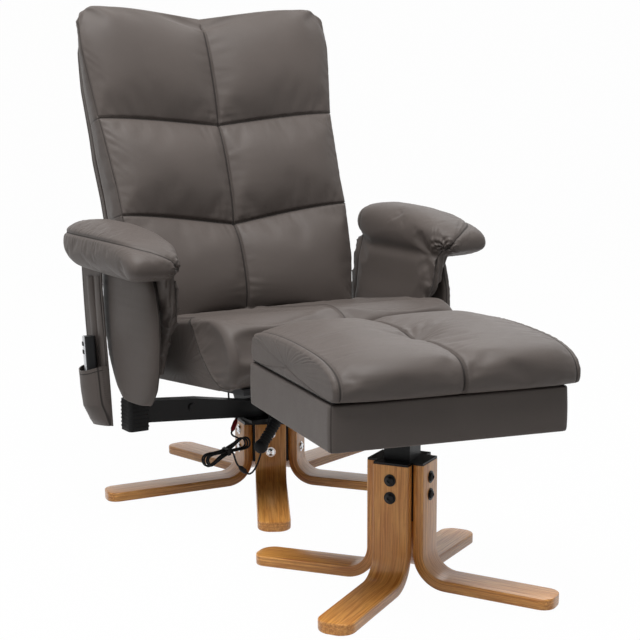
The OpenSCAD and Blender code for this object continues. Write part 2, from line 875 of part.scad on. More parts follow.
// Pins of the recline pivots, and a bolt through each wing of the cross-member
module carriage_bolts() {
    color(chrome)
        for (s = [-1, 1]) {
            translate([s * member_bolt_x, member_y, member_bolt_z])
                rotate([-90, 0, 0]) {
                    translate([0, 0, -member_bolt_h])
                        cylinder(h = member_bolt_h, r = 2 * member_bolt_r);
                    cylinder(h = member_depth - overrun, r = member_bolt_r);
                }
            scale([s, 1, 1])
                translate([back_plate_x - gap - recline_head_h, pivot_y, pivot_z])
                    rotate([0, 90, 0]) {
                        cylinder(h = recline_head_h, r = recline_head_r);
                        cylinder(h = seat_ear_x + bracket_t + 2 * gap + recline_head_h
                            - back_plate_x, r = recline_pin_r);
                        translate([0, 0, seat_ear_x + bracket_t + 2 * gap + recline_head_h
                                - back_plate_x])
                            cylinder(h = recline_head_h, r = recline_head_r);
                    }
        }
}

// Round vibration motor, its flange at the origin and its cap below
module motor(h) {
    cylinder(h = h, r = motor_r);
    translate([0, 0, -motor_cap_h])
        cylinder(h = motor_cap_h, r = motor_cap_r);
}

module seat_motors() {
    color(black_plastic)
        on_seat()
            for (s = [-1, 1])
                translate([s * seat_motor_x, seat_motor_y, -motor_h])
                    motor(motor_h);
}

module control_box() {
    color(black_plastic)
        on_seat()
            translate([control_x, control_y, -seat_board_t - control_h])
                difference() {
                    linear_extrude(control_h)
                        round_rect(control_w, control_d, cap_r);
                    translate([0, 0.5 * control_d + overrun, 0.5 * control_h])
                        rotate([90, 0, 0])
                            difference() {
                                cylinder(h = socket_depth + overrun, r = socket_r);
                                translate([0, 0, 2 * overrun])
                                    cylinder(h = socket_depth + overrun, r = socket_pin_r);
                            }
                }
}

// Pocket frame of reference, its top front corner under the arm pad
module on_pocket() {
    translate([pocket_x, pocket_y, pocket_top])
        rotate([-pocket_lean, 0, 0])
            children();
}

module side_pocket() {
    color(leather)
        difference() {
            pocket_shape();
            arm_pad_right();
        }
}

module pocket_shape() {
    on_pocket()
        difference() {
            union() {
                translate([-pocket_sheet, 0, -pocket_drop])
                    cube([pocket_sheet, pocket_w, pocket_drop + pocket_tab]);
                pouch(0, 0);
            }
            pouch(pocket_sheet, overrun);
        }
}

// Pouch of the pocket, or the space inside it when its walls are drawn in
module pouch(wall, past) {
    low = -pocket_drop;
    translate([0, pocket_w - wall, 0])
        rotate([90, 0, 0])
            linear_extrude(pocket_w - 2 * wall)
                polygon([
                    [-pocket_sheet, low + wall], [-pouch_toe - pocket_sheet + wall, low + wall],
                    [-pouch_knee_out_share * pouch_out - pocket_sheet + wall,
                        low + pouch_knee_share * pouch_h],
                    [-pouch_out - pocket_sheet + wall, low + pouch_h],
                    [-pouch_out - pocket_sheet + wall, low + pouch_h + past],
                    [-pocket_sheet, low + pouch_h + past]
                ]);
}

// Remote frame of reference, its outer face turned away from the chair
module on_remote() {
    on_pocket()
        translate([-remote_centre, 0.5 * pocket_w, remote_low - pocket_drop])
            rotate([0, 0, -remote_twist])
                translate([0.5 * remote_t, 0, 0])
                    children();
}
remote_body_t = remote_t - remote_face_t;
function button_at(i) = [
    (i % 2 == 1 ? -1 : 1) * button_gap_across,
    remote_len - button_first - (i > 2 ? button_step : 0)
];

module remote_body() {
    color(black_plastic)
        on_remote()
            difference() {
                translate([-0.5 * remote_body_t, 0, 0])
                    linear_extrude(remote_len)
                        round_rect(remote_body_t, remote_w, remote_edge_r);
                for (i = [1:4])
                    translate([-remote_body_t - overrun, button_at(i)[0], button_at(i)[1]])
                        rotate([0, 90, 0])
                            cylinder(h = button_seat + button_travel + overrun,
                                r = button_r + gap);
            }
}

module remote_face() {
    color(silver)
        on_remote()
            difference() {
                translate([-remote_t, -0.5 * remote_w + remote_edge_r, 0])
                    cube([remote_face_t, remote_w - 2 * remote_edge_r, remote_len]);
                for (i = [1:4])
                    translate([-remote_t - overrun, button_at(i)[0], button_at(i)[1]])
                        rotate([0, 90, 0])
                            cylinder(h = remote_face_t + 2 * overrun, r = button_r + gap);
            }
}

module remote_button(i) {
    color(black_plastic)
        on_remote()
            translate([-remote_t - button_out, button_at(i)[0], button_at(i)[1]])
                rotate([0, 90, 0])
                    cylinder(h = button_out + remote_face_t + button_seat - gap, r = button_r);
}
module remote_button_1() { remote_button(1); }
module remote_button_2() { remote_button(2); }
module remote_button_3() { remote_button(3); }
module remote_button_4() { remote_button(4); }

// Lead and hank
along = unit(hank_long);
hank_side = unit(cross(along, [0, 0, 1]));
hank_up = cross(hank_side, along);
function hank_point(a) = let (
        share = (a - hank_start) / (hank_end + 360 * hank_turns - hank_start),
        half_w = hank_half_w * (hank_waist + (1 - hank_waist) * pow(cos(a), 2))
    ) hank_centre + hank_half * cos(a) * along + half_w * sin(a) * hank_up
        + hank_pitch * (hank_turns + (hank_end - hank_start) / 360) * (share - 0.5) * hank_side;
hank_count = round(hank_rings * (hank_turns + (hank_end - hank_start) / 360));
function hank_angle(i) = hank_start
    + (360 * hank_turns + hank_end - hank_start) * i / hank_count;
hank_loops = [for (i = [0:hank_count]) hank_point(hank_angle(i))];
hank_in = unit(hank_loops[1] - hank_loops[0]);
hank_out = unit(hank_loops[hank_count] - hank_loops[hank_count - 1]);
hank_points = concat([hank_loops[0] - lead_d * hank_in], hank_loops,
    [hank_loops[hank_count] + lead_d * hank_out]);
hank_gap = min([
    for (i = [0:hank_count - 6], j = [i + 6:hank_count])
        norm(hank_loops[i] - hank_loops[j]) - lead_d
]);
echo(least_gap_in_hank = hank_gap);

module lead(route) {
    color(black_plastic)
        tube(route, lead_d, lead_sides, [0.2, 1, 0]);
}
module lead_exit() { lead(exit_route); }
module lead_drop() { lead(concat(drop_route, [hank_points[0]])); }
module lead_link() { lead(concat([hank_points[hank_count + 2]], link_route)); }
module lead_return() { lead(return_route); }
module lead_hank() {
    color(black_plastic)
        tube(hank_points, lead_d, 6, hank_side);
}

// Tie round the waist of the hank
module lead_tie() {
    depth = hank_pitch * (hank_turns + 1) + lead_d;
    height = 2 * hank_half_w * hank_waist + lead_d + 2 * gap;
    color(black_plastic)
        multmatrix([
            [along[0], hank_side[0], hank_up[0], hank_centre[0]],
            [along[1], hank_side[1], hank_up[1], hank_centre[1]],
            [along[2], hank_side[2], hank_up[2], hank_centre[2]],
            [0, 0, 0, 1]
        ])
            rotate([90, 0, 90])
                translate([0, 0, -0.5 * tie_w])
                    linear_extrude(tie_w)
                        difference() {
                            round_rect(depth + 2 * tie_t, height + 2 * tie_t, 2 * tie_t);
                            round_rect(depth, height, tie_t);
                        }
}

// Barrel coupler between two stretches, thicker at its middle
module coupler(from, to, r, share) {
    v = to - from;
    len = norm(v);
    translate(from)
        rotate([0, acos(v[2] / len), atan2(v[1], v[0])])
            rotate_extrude()
                polygon([
                    [0, 0], [0.6 * r, 0], [r, share * len], [r, (1 - share) * len],
                    [0.6 * r, len], [0, len]
                ]);
}
module lead_coupler() {
    color(red_plastic)
        coupler(exit_route[len(exit_route) - 1], drop_route[0], coupler_r, 0.2);
}
module inline_coupler() {
    color(black_plastic)
        coupler(link_route[len(link_route) - 1], return_route[0], inline_r, 0.25);
}

// Backrest frame of reference, on the recline pivot and tilted with the back
module on_back() {
    translate([0, pivot_y, pivot_z])
        rotate([-back_tilt, 0, 0])
            children();
}
function back_half(share) = 0.5 * back_w * lookup(share, back_width_shares);
function back_top(a) = back_corner_rise * sin(128 * a);
function row_end(row, a) = back_low + back_len * row_shares[row]
    + (row < 3 ? droop_sizes[row] * pow(a, 1.5) : back_top(a));
function back_u(row, t, a) = row_end(row, a) * (1 - t) + row_end(row + 1, a) * t;
function back_draw(share) = back_rear_draw + back_rear_taper * share;
function back_ring(row, t, sink) = let (
        share = (back_u(row, t, 0.7) - back_low) / back_len,
        half = back_half(share) - 0.3 * sink,
        wrap = back_wrap * lookup(share, back_wrap_shares),
        edge_w = back_seam_w + wrap - back_edge_drop - sink
    ) concat(
        [for (k = [0:back_front_steps]) let (
                s = 2 * k / back_front_steps - 1,
                a = abs(s),
                w = back_seam_w + wrap * pow(a, 2.2) - back_edge_drop * pow(a, 8)
                    + back_crown * puff(a) * puff(t) - sink
            ) [half * s, -w, back_u(row, t, a) + 0.8 * sink]],
        [for (s = [1, -1], k = s > 0 ? [1:3] : [3:-1:1])
            [s * (half - back_draw(share) * k / 3),
                -edge_w + (edge_w - back_rear_w) * k / 3 - (k == 3 ? 0.3 * sink : 0),
                back_u(row, t, 1) + 0.8 * sink]]
    );
module back_cushion() {
    color(leather)
        on_back()
            skin(concat(
                [for (row = [0:2], k = [0:back_row_steps - 1]) back_ring(row, k / back_row_steps, 0)],
                [back_ring(2, 1, 0), back_ring(2, 1, back_top_round)]
            ));
}

// Outline of the rear of the back, narrower than its front, drawn in by an inset
function back_edge(inset) = concat(
    [for (k = [0:8]) let (share = k / 8 * 0.94)
        [back_half(share) - back_draw(share) - inset,
            back_low + back_len * share + (k == 0 ? inset : 0)]],
    [for (k = [0:10]) let (s = 1 - k / 5, a = abs(s))
        [(back_half(1) - back_draw(1) - inset) * s, row_end(3, a) - back_rear_low - inset]],
    [for (k = [8:-1:0]) let (share = k / 8 * 0.94)
        [-back_half(share) + back_draw(share) + inset,
            back_low + back_len * share + (k == 0 ? inset : 0)]]
);
function cover_ring(w, inset) = [for (p = back_edge(inset)) [p[0], -w, p[1]]];
module back_cover() {
    back_w_rear = back_rear_w - back_board_t - back_cover_t;
    pocket_half = 0.5 * back_board_w + bracket_t + 2 * gap;
    color(leather)
        on_back()
            difference() {
                skin([
                    cover_ring(back_w_rear, 3 * cover_rim),
                    cover_ring(back_w_rear + 0.3 * cover_rim, 1.4 * cover_rim),
                    cover_ring(back_w_rear + cover_rim, 0.5 * cover_rim),
                    cover_ring(back_w_rear + 2 * cover_rim, 0),
                    cover_ring(back_rear_w - gap, 0)
                ]);
                translate([-pocket_half, -back_rear_w - overrun, 0])
                    cube([2 * pocket_half, back_board_t + overrun + gap,
                        back_board_high + gap]);
            }
}

module back_frame() {
    color(plywood)
        on_back()
            difference() {
                translate([0, -back_rear_w + back_board_t, 0])
                    rotate([90, 0, 0])
                        linear_extrude(back_board_t - gap)
                            polygon([
                                [-0.5 * back_board_w, back_board_low],
                                [0.5 * back_board_w, back_board_low],
                                [0.5 * back_board_w, back_board_high - back_board_corner],
                                [0.5 * back_board_w - back_board_corner, back_board_high],
                                [-0.5 * back_board_w + back_board_corner, back_board_high],
                                [-0.5 * back_board_w, back_board_high - back_board_corner]
                            ]);
                for (s = [-1, 1], row = [0:2])
                    translate([s * back_motor_x, -back_rear_w - overrun, back_u(row, 0.5, 0.5)])
                        rotate([-90, 0, 0])
                            cylinder(h = back_board_t + 2 * overrun, r = motor_r + gap);
            }
}

module back_motors() {
    color(black_plastic)
        on_back()
            for (s = [-1, 1], row = [0:2])
                translate([s * back_motor_x, -back_rear_w + gap, back_u(row, 0.5, 0.5)])
                    rotate([-90, 0, 0])
                        cylinder(h = back_board_t - gap, r = motor_r);
}

// Plates on the edges of the back board that turn on the recline pins
module back_brackets() {
    low = -back_rear_w + gap;
    high = low + back_board_t - 2 * gap;
    color(black_steel)
        on_back()
            for (s = [-1, 1])
                scale([s, 1, 1])
                    translate([back_plate_x, 0, 0])
                        rotate([90, 0, 90])
                            difference() {
                                linear_extrude(bracket_t) {
                                    circle(r = bracket_boss_r);
                                    polygon([
                                        [-0.5 * bracket_boss_r, 0.8 * bracket_boss_r],
                                        [0.9 * bracket_boss_r, -0.3 * bracket_boss_r],
                                        [high, back_low - bracket_t],
                                        [high, back_low + back_plate_len],
                                        [low, back_low + back_plate_len],
                                        [low, back_low - bracket_t]
                                    ]);
                                }
                                translate([0, 0, -overrun])
                                    cylinder(h = bracket_t + 2 * overrun,
                                        r = recline_pin_r + pin_clear);
                            }
}

// Recline lever
lever_barrel_x = -30;
lever_barrel_len = 34;
lever_barrel_r = 10;
lever_rod_r = 5;
lever_joint_r = 6;
lever_knee = [-20, -138, 236];
lever_elbow = [-48, -141, 203];
lever_tip = [-104, -141, 130];
lever_ball_r = 15;
rib_count = 12;
rib_depth = 1.6;

module lever_arm() {
    root = [lever_barrel_x + 0.5 * lever_barrel_len, lever_y, lever_z];
    color(black_steel)
        difference() {
            union() {
                translate([lever_barrel_x, lever_y, lever_z])
                    rotate([0, 90, 0])
                        cylinder(h = lever_barrel_len, r = lever_barrel_r);
                bar(root, lever_knee, lever_rod_r, lever_rod_r);
                translate(lever_knee)
                    sphere(r = lever_joint_r);
                bar(lever_knee, lever_elbow, lever_rod_r, lever_rod_r);
                translate(lever_elbow)
                    sphere(r = lever_joint_r);
                bar(lever_elbow, lever_tip, lever_rod_r, lever_rod_r);
            }
            translate([lever_barrel_x - overrun, lever_y, lever_z])
                rotate([0, 90, 0])
                    cylinder(h = lever_barrel_len + 2 * overrun, r = lever_pin_r + pin_clear);
        }
}

module lever_grip() {
    way = unit(lever_tip - lever_elbow);
    start = lever_elbow + 2 * lever_rod_r * way;
    run = norm(lever_tip - start);
    color(black_plastic)
        difference() {
            union() {
                bar(start, lever_tip, grip_r - rib_depth, grip_r - rib_depth);
                for (i = [0:rib_count - 1])
                    bar(start + run * (i + 0.2) / rib_count * way,
                        start + run * (i + 0.8) / rib_count * way, grip_r, grip_r);
                translate(lever_tip)
                    sphere(r = lever_ball_r);
            }
            bar(lever_elbow, lever_tip + pin_clear * way, lever_rod_r + pin_clear,
                lever_rod_r + pin_clear);
        }
}

// Ottoman frame of reference, on the post's axis and turned with the box
module on_ottoman() {
    translate([ottoman_x, ottoman_y, 0])
        rotate([0, 0, ottoman_turn])
            children();
}

module ottoman_leg(i) {
    color(wood)
        on_ottoman()
            rotate([0, 0, ottoman_leg_turn + 90 * i])
                bent_leg(ottoman_hub_flat, ottoman_leg_t, ottoman_bend_r, ottoman_leg_reach,
                    ottoman_leg_top, ottoman_slope, [ottoman_bolt_low, ottoman_bolt_high]);
}
module ottoman_leg_1() { ottoman_leg(1); }
module ottoman_leg_2() { ottoman_leg(2); }
module ottoman_leg_3() { ottoman_leg(3); }
module ottoman_leg_4() { ottoman_leg(4); }

module post_square(w, h) {
    translate([-0.5 * w, -0.5 * w, 0])
        cube([w, w, h]);
}

module ottoman_post() {
    cap_reach = 2 * (ottoman_hub_flat + ottoman_leg_t - post_cap_margin);
    cap_arm = leg_w - 2 * post_cap_margin;
    color(black_steel)
        on_ottoman()
            rotate([0, 0, ottoman_leg_turn])
                difference() {
                    union() {
                        translate([0, 0, post_low])
                            post_square(2 * ottoman_hub_flat, ottoman_leg_top - post_low);
                        translate([0, 0, ottoman_leg_top])
                            post_square(post_w, box_z - post_flange_t - ottoman_leg_top);
                        for (a = [0, 90])
                            rotate([0, 0, a])
                                translate([-0.5 * cap_reach, -0.5 * cap_arm, ottoman_leg_top])
                                    cube([cap_reach, cap_arm, post_cap_t]);
                        translate([0, 0, box_z - post_flange_t])
                            post_square(post_flange_w, post_flange_t);
                    }
                    translate([0, 0, post_low - overrun])
                        post_square(2 * (ottoman_hub_flat - post_wall),
                            ottoman_leg_top - post_low - post_wall + overrun);
                    for (a = [0:90:270], z = [ottoman_bolt_low, ottoman_bolt_high])
                        rotate([0, 0, a])
                            translate([ottoman_hub_flat - post_wall - overrun, 0, z])
                                rotate([0, 90, 0])
                                    cylinder(h = post_wall + 2 * overrun, r = bolt_r + bolt_clear);
                }
}

module ottoman_bolts() {
    color(black_steel)
        on_ottoman() {
            for (a = [0:90:270], z = [ottoman_bolt_low, ottoman_bolt_high])
                rotate([0, 0, ottoman_leg_turn + a])
                    translate([ottoman_hub_flat + ottoman_leg_t, 0, z])
                        leg_bolt(ottoman_leg_t + bolt_end, washer_h);
            for (sx = [-1, 1], sy = [-1, 1])
                translate([sx * (0.5 * box_w - knob_inset), sy * (0.5 * box_d - knob_inset),
                        box_z - knob_h])
                    cylinder(h = knob_h, r = knob_r);
        }
}

module ottoman_glides() {
    color(black_plastic)
        on_ottoman()
            glides(ottoman_leg_count, ottoman_leg_turn, ottoman_leg_reach, ottoman_slope);
}

module ottoman_box() {
    color(leather)
        on_ottoman()
            translate([0, 0, box_z])
                difference() {
                    linear_extrude(box_h)
                        round_rect(box_w, box_d, box_edge_r);
                    translate([-0.5 * box_w + box_wall, -0.5 * box_d + box_wall, -overrun])
                        cube([box_w - 2 * box_wall, box_d - 2 * box_wall, box_h + 2 * overrun]);
                }
}

module ottoman_floor() {
    color(plywood)
        on_ottoman()
            translate([-0.5 * box_w + box_wall + gap, -0.5 * box_d + box_wall + gap, box_z])
                cube([box_w - 2 * box_wall - 2 * gap, box_d - 2 * box_wall - 2 * gap,
                    box_floor_t]);
}

// Two butt hinges, the box's knuckles outside and the lid's knuckle between them
module hinge_knuckle(from, to) {
    translate([from, hinge_y, hinge_z])
        rotate([0, 90, 0])
            cylinder(h = to - from, r = hinge_barrel_r);
}
module ottoman_hinge_leaves() {
    color(black_steel)
        on_ottoman()
            for (s = [-1, 1])
                translate([s * hinge_x, 0, 0])
                    difference() {
                        union() {
                            translate([-0.5 * hinge_w, 0.5 * box_d, hinge_z - hinge_leaf_len])
                                cube([hinge_w, hinge_leaf_t, hinge_leaf_len - hinge_barrel_r]);
                            for (t = [-1, 1]) {
                                hinge_knuckle(t > 0 ? hinge_w / 6 + gap : -0.5 * hinge_w,
                                    t > 0 ? 0.5 * hinge_w : -hinge_w / 6 - gap);
                                translate([t > 0 ? hinge_w / 6 + gap : -0.5 * hinge_w,
                                        0.5 * box_d, hinge_z - 2 * hinge_barrel_r])
                                    cube([hinge_w / 3 - gap, hinge_barrel_r, 2 * hinge_barrel_r]);
                            }
                        }
                        translate([-hinge_w, hinge_y, hinge_z])
                            rotate([0, 90, 0])
                                cylinder(h = 2 * hinge_w, r = hinge_pin_r + pin_clear);
                    }
}
module lid_hinge_leaves() {
    color(black_steel)
        on_ottoman()
            for (s = [-1, 1])
                translate([s * hinge_x, 0, 0]) {
                    hinge_knuckle(-hinge_w / 6, hinge_w / 6);
                    translate([-0.5 * hinge_w, hinge_y, hinge_z])
                        rotate([0, 90, 0])
                            cylinder(h = hinge_w, r = hinge_pin_r);
                    translate([-hinge_w / 6, hinge_y - hinge_leaf_len, lid_z - hinge_leaf_t])
                        cube([hinge_w / 3, hinge_leaf_len, hinge_leaf_t]);
                    translate([-hinge_w / 6, hinge_y - hinge_barrel_r, hinge_z])
                        cube([hinge_w / 3, hinge_barrel_r, lid_z - hinge_z]);
                }
}

module lid_board() {
    color(plywood)
        on_ottoman()
            translate([-0.5 * box_w + lid_board_inset, -0.5 * box_d + lid_board_inset, lid_z])
                cube([box_w - 2 * lid_board_inset, box_d - 2 * lid_board_inset, lid_board_t]);
}

// Lid cushion, a crowned pad with a seam from front to rear and one tuft
lid_low_y = -0.5 * box_d - lid_front_over;
lid_high_y = 0.5 * box_d + lid_rear_over;
lid_left_x = -0.5 * box_w;
lid_right_x = 0.5 * box_w + lid_side_over;
lid_stations = [0, 0.015, 0.05, 0.12, 0.22, 0.33, 0.42, 0.47, 0.5, 0.53, 0.58, 0.67, 0.78,
    0.88, 0.95, 0.985, 1];
function lid_top(s, t) = let (
        x = (s - 0.5) * (lid_right_x - lid_left_x),
        y = (t - 0.5) * (lid_high_y - lid_low_y),
        side = pow(sin(180 * s), 0.35),
        fore = pow(sin(180 * t), 0.35)
    ) lid_h - lid_crown + lid_crown * puff(2 * min(s, 1 - s)) * side * fore
        - lid_crown * (1 - side * fore)
        - lid_tuft * exp(-(x * x + y * y) / (lid_tuft_r * lid_tuft_r));
function lid_ring(s) = let (
        x = lid_left_x + s * (lid_right_x - lid_left_x),
        draw = lid_edge * (1 - pow(sin(180 * max(0.004, min(0.996, s))), 0.3)),
        low = lid_low_y + 0.3 * draw,
        high = lid_high_y - 0.3 * draw
    ) concat(
        [for (k = [0:4]) [x, low + 0.2 * lid_edge + (high - low - 0.4 * lid_edge) * k / 4,
            lid_cushion_z]],
        [[x, high, lid_cushion_z + 0.25 * lid_h], [x, high, lid_cushion_z + 0.45 * lid_h]],
        [for (k = [16:-1:0]) let (t = 0.5 - 0.5 * cos(180 * (k + 0.6) / 17.2))
            [x, low + (high - low) * t, lid_cushion_z + lid_top(max(0.004, min(0.996, s)), t)]],
        [[x, low, lid_cushion_z + 0.4 * lid_h], [x, low, lid_cushion_z + 0.2 * lid_h]]
    );
module lid_cushion() {
    color(leather)
        on_ottoman()
            difference() {
                skin([for (s = lid_stations) lid_ring(s)]);
                translate([-0.5 * box_w + lid_board_inset - gap,
                        -0.5 * box_d + lid_board_inset - gap, lid_z - overrun])
                    cube([box_w - 2 * lid_board_inset + 2 * gap,
                        box_d - 2 * lid_board_inset + 2 * gap, lid_board_t + overrun + gap]);
                for (s = [-1, 1])
                    translate([s * hinge_x - hinge_w / 6 - gap, 0.5 * box_d - lid_board_inset,
                            lid_z - overrun])
                        cube([hinge_w / 3 + 2 * gap, lid_rear_over + lid_board_inset + overrun,
                            overrun + 2 * gap]);
            }
}

base_leg_1();
base_leg_2();
base_leg_3();
base_leg_4();
base_leg_5();
base_hub();
base_bolts();
base_glides();
swivel_bearing();
swivel_plate();
cross_member();
arm_cap_right();
arm_cap_left();
arm_outer_right();
arm_outer_left();
arm_inner_right();
arm_inner_left();
arm_pad_right();
arm_pad_left();
seat_frame();
seat_cushion();
seat_brackets();
carriage_bolts();
seat_motors();
control_box();
side_pocket();
lead_exit();
lead_coupler();
lead_drop();
lead_hank();
lead_tie();
lead_link();
inline_coupler();
lead_return();
back_frame();
back_cushion();
back_cover();
back_brackets();
back_motors();
lever_arm();
lever_grip();
remote_body();
remote_face();
remote_button_1();
remote_button_2();
remote_button_3();
remote_button_4();
ottoman_leg_1();
ottoman_leg_2();
ottoman_leg_3();
ottoman_leg_4();
ottoman_post();
ottoman_bolts();
ottoman_glides();
ottoman_box();
ottoman_floor();
ottoman_hinge_leaves();
lid_board();
lid_cushion();
lid_hinge_leaves();
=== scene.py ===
"""Upholstery, timber and metal finishes for a massage recliner with a storage ottoman.

The chair faces -Y, stands on the floor at z = 0 and swivels about the Z axis. Shapes are worked out in
millimetres in the frame of the part that carries them, and leave as metres in the shared frame.
"""

import math

import bpy
import numpy as np
from bpy.props import FloatProperty, FloatVectorProperty, PointerProperty
from mathutils import Matrix, Vector


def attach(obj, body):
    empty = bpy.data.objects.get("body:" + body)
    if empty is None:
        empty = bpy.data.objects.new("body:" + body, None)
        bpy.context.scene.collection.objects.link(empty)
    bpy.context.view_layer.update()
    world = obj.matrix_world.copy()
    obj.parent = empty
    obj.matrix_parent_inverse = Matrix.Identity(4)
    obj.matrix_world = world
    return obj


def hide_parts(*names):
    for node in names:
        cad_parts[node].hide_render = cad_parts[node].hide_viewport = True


bl_info = {
    "name": "Massage recliner dressing",
    "version": (1, 0, 0),
    "blender": (4, 5, 0),
    "location": "3D View > Sidebar > Recliner",
    "description": "Dresses a bentwood massage recliner and its ottoman in leather, timber and metal",
    "category": "Object",
}

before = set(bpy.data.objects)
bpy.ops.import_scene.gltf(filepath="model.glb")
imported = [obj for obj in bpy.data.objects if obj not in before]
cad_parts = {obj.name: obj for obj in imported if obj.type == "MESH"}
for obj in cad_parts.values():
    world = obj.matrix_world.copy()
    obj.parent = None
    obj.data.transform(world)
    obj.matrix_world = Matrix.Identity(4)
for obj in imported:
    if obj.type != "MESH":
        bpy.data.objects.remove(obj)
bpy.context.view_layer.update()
MM = 0.001
FAR = 1000.0


# Frames of reference

def turned(points, axis, degrees):
    """Points turned about an axis through the origin."""
    p = np.asarray(points, float)
    c, s = math.cos(math.radians(degrees)), math.sin(math.radians(degrees))
    x, y, z = p[..., 0], p[..., 1], p[..., 2]
    if axis == "X":
        return np.stack([x, c * y - s * z, s * y + c * z], -1)
    return np.stack([c * x - s * y, s * x + c * y, z], -1)


def on_seat(points):
    """Seat frame: origin on the swivel axis at the underside of the cushion, tilted with the seat."""
    return turned(points, "X", -4.4) + [0, 0, 275]


def on_back(points):
    """Back frame: x across, w forward and u up the back from the recline pivot."""
    p = np.asarray(points, float)
    return turned(np.stack([p[..., 0], -p[..., 1], p[..., 2]], -1), "X", -17) + [0, 120, 330]


def on_ottoman(points):
    """Ottoman frame: origin on the floor under its post, turned with its box."""
    return turned(points, "Z", -11.07) + [-143, -720, 0]


def on_pocket(points):
    """Pocket frame: origin at the pocket's top front corner, leaning back."""
    return turned(points, "X", -7) + [-390, 20, 502.7]


# Mesh making

def add(name, data):
    """An object in the scene."""
    made = bpy.data.objects.new(name, data)
    bpy.context.scene.collection.objects.link(made)
    return made


def make(name, verts, faces, sharp=None):
    """A smooth piece from points in millimetres in the shared frame."""
    mesh = bpy.data.meshes.new(name)
    mesh.from_pydata((np.asarray(verts, float) * MM).tolist(), [], faces)
    mesh.update()
    mesh.shade_smooth()
    if sharp:
        mesh.set_sharp_from_angle(angle=math.radians(sharp))
    return add(name, mesh)


def quads(table):
    """Faces between the neighbouring rows and columns of a table of point numbers."""
    corners = np.stack([table[:-1, :-1], table[1:, :-1], table[1:, 1:], table[:-1, 1:]], -1)
    return [tuple(face) for face in corners.reshape(-1, 4).tolist()]


def skin(rings):
    """Points and faces of a closed skin over a stack of closed rings."""
    rings = np.asarray(rings, float)
    m, n = rings.shape[:2]
    table = np.arange(m * n).reshape(m, n)
    faces = quads(np.column_stack([table, table[:, 0]]))
    for j in range(n):
        k = (j + 1) % n
        faces += [(m * n, j, k), (m * n + 1, (m - 1) * n + k, (m - 1) * n + j)]
    return np.vstack([rings.reshape(-1, 3), rings[0].mean(0), rings[-1].mean(0)]), faces


def join_skins(skins):
    """Points and faces of several skins as one."""
    faces, start = [], 0
    for points, sides in skins:
        faces += [tuple(start + v for v in side) for side in sides]
        start += len(points)
    return np.vstack([points for points, _ in skins]), faces


def run_along(line):
    """Distance along a line at each of its points."""
    return np.concatenate([[0], np.cumsum(np.linalg.norm(np.diff(line, axis=0), axis=1))])


def rounded(half_x, half_y, radius, steps):
    """Points round a rounded rectangle about the origin, with as many steps at each corner."""
    x, y = half_x - radius, half_y - radius
    return np.array([(sx * x + radius * math.cos(a), sy * y + radius * math.sin(a))
                     for sx, sy, first in ((1, 1, 0), (-1, 1, 90), (-1, -1, 180), (1, -1, 270))
                     for a in np.radians(np.linspace(first, first + 90, steps))])


def read(table, at, column=1):
    """A value from a table of given points, found by its first column."""
    return np.interp(at, table[:, 0], table[:, column])


def flowing(points, count, closed=False):
    """A smooth line through given points, resampled to even steps."""
    p = np.asarray(points, float)
    if closed:
        p = np.vstack([p[-1:], p, p[:2]])
    else:
        p = np.vstack([2 * p[:1] - p[1:2], p, 2 * p[-1:] - p[-2:-1]])
    fine = []
    for i in range(1, len(p) - 2):
        a, b, c, d = p[i - 1:i + 3]
        for t in np.linspace(0, 1, 24, endpoint=False):
            fine.append(0.5 * (2 * b + (c - a) * t + (2 * a - 5 * b + 4 * c - d) * t * t
                               + (3 * b - a - 3 * c + d) * t ** 3))
    fine = np.array(fine + [p[-2]])
    run = run_along(fine)
    want = np.linspace(0, run[-1], count + 1 if closed else count)
    even = np.stack([np.interp(want, run, fine[:, k]) for k in range(fine.shape[1])], -1)
    return even[:-1] if closed else even


def field(data, key="vector"):
    """A vector at each point, read from a mesh."""
    values = np.zeros(len(data) * 3, np.float32)
    data.foreach_get(key, values)
    return values.reshape(-1, 3).astype(float)


def coords(piece):
    """The piece's points in metres."""
    return field(piece.data.vertices, "co")


def set_coords(piece, points):
    """Moves the piece's points, in metres."""
    piece.data.vertices.foreach_set("co", np.asarray(points, np.float32).ravel())
    piece.data.update()


def note(piece, name, values):
    """Stores a vector at each point, for the material to read."""
    layer = piece.data.attributes.new(name, "FLOAT_VECTOR", "POINT")
    layer.data.foreach_set("vector", np.asarray(values, np.float32).ravel())


def settle(piece):
    """Applies the piece's modifiers."""
    graph = bpy.context.evaluated_depsgraph_get()
    mesh = bpy.data.meshes.new_from_object(piece.evaluated_get(graph), preserve_all_data_layers=True,
                                           depsgraph=graph)
    piece.modifiers.clear()
    old, piece.data = piece.data, mesh
    bpy.data.meshes.remove(old)
    piece.data.shade_smooth()


def relax(piece, rounds, share, held=0.0):
    """Evens out a piece's points towards their neighbours, but not those held."""
    mesh = piece.data
    edges = np.zeros(len(mesh.edges) * 2, np.int32)
    mesh.edges.foreach_get("vertices", edges)
    edges = edges.reshape(-1, 2)
    co = coords(piece)
    links = np.bincount(edges.ravel(), minlength=len(co))[:, None].clip(1)
    free = np.ones((len(co), 1)) * (1 - np.reshape(held, (-1, 1)))
    for _ in range(rounds):
        total = np.zeros_like(co)
        np.add.at(total, edges[:, 0], co[edges[:, 1]])
        np.add.at(total, edges[:, 1], co[edges[:, 0]])
        co += share * free * (total / links - co)
    set_coords(piece, co)


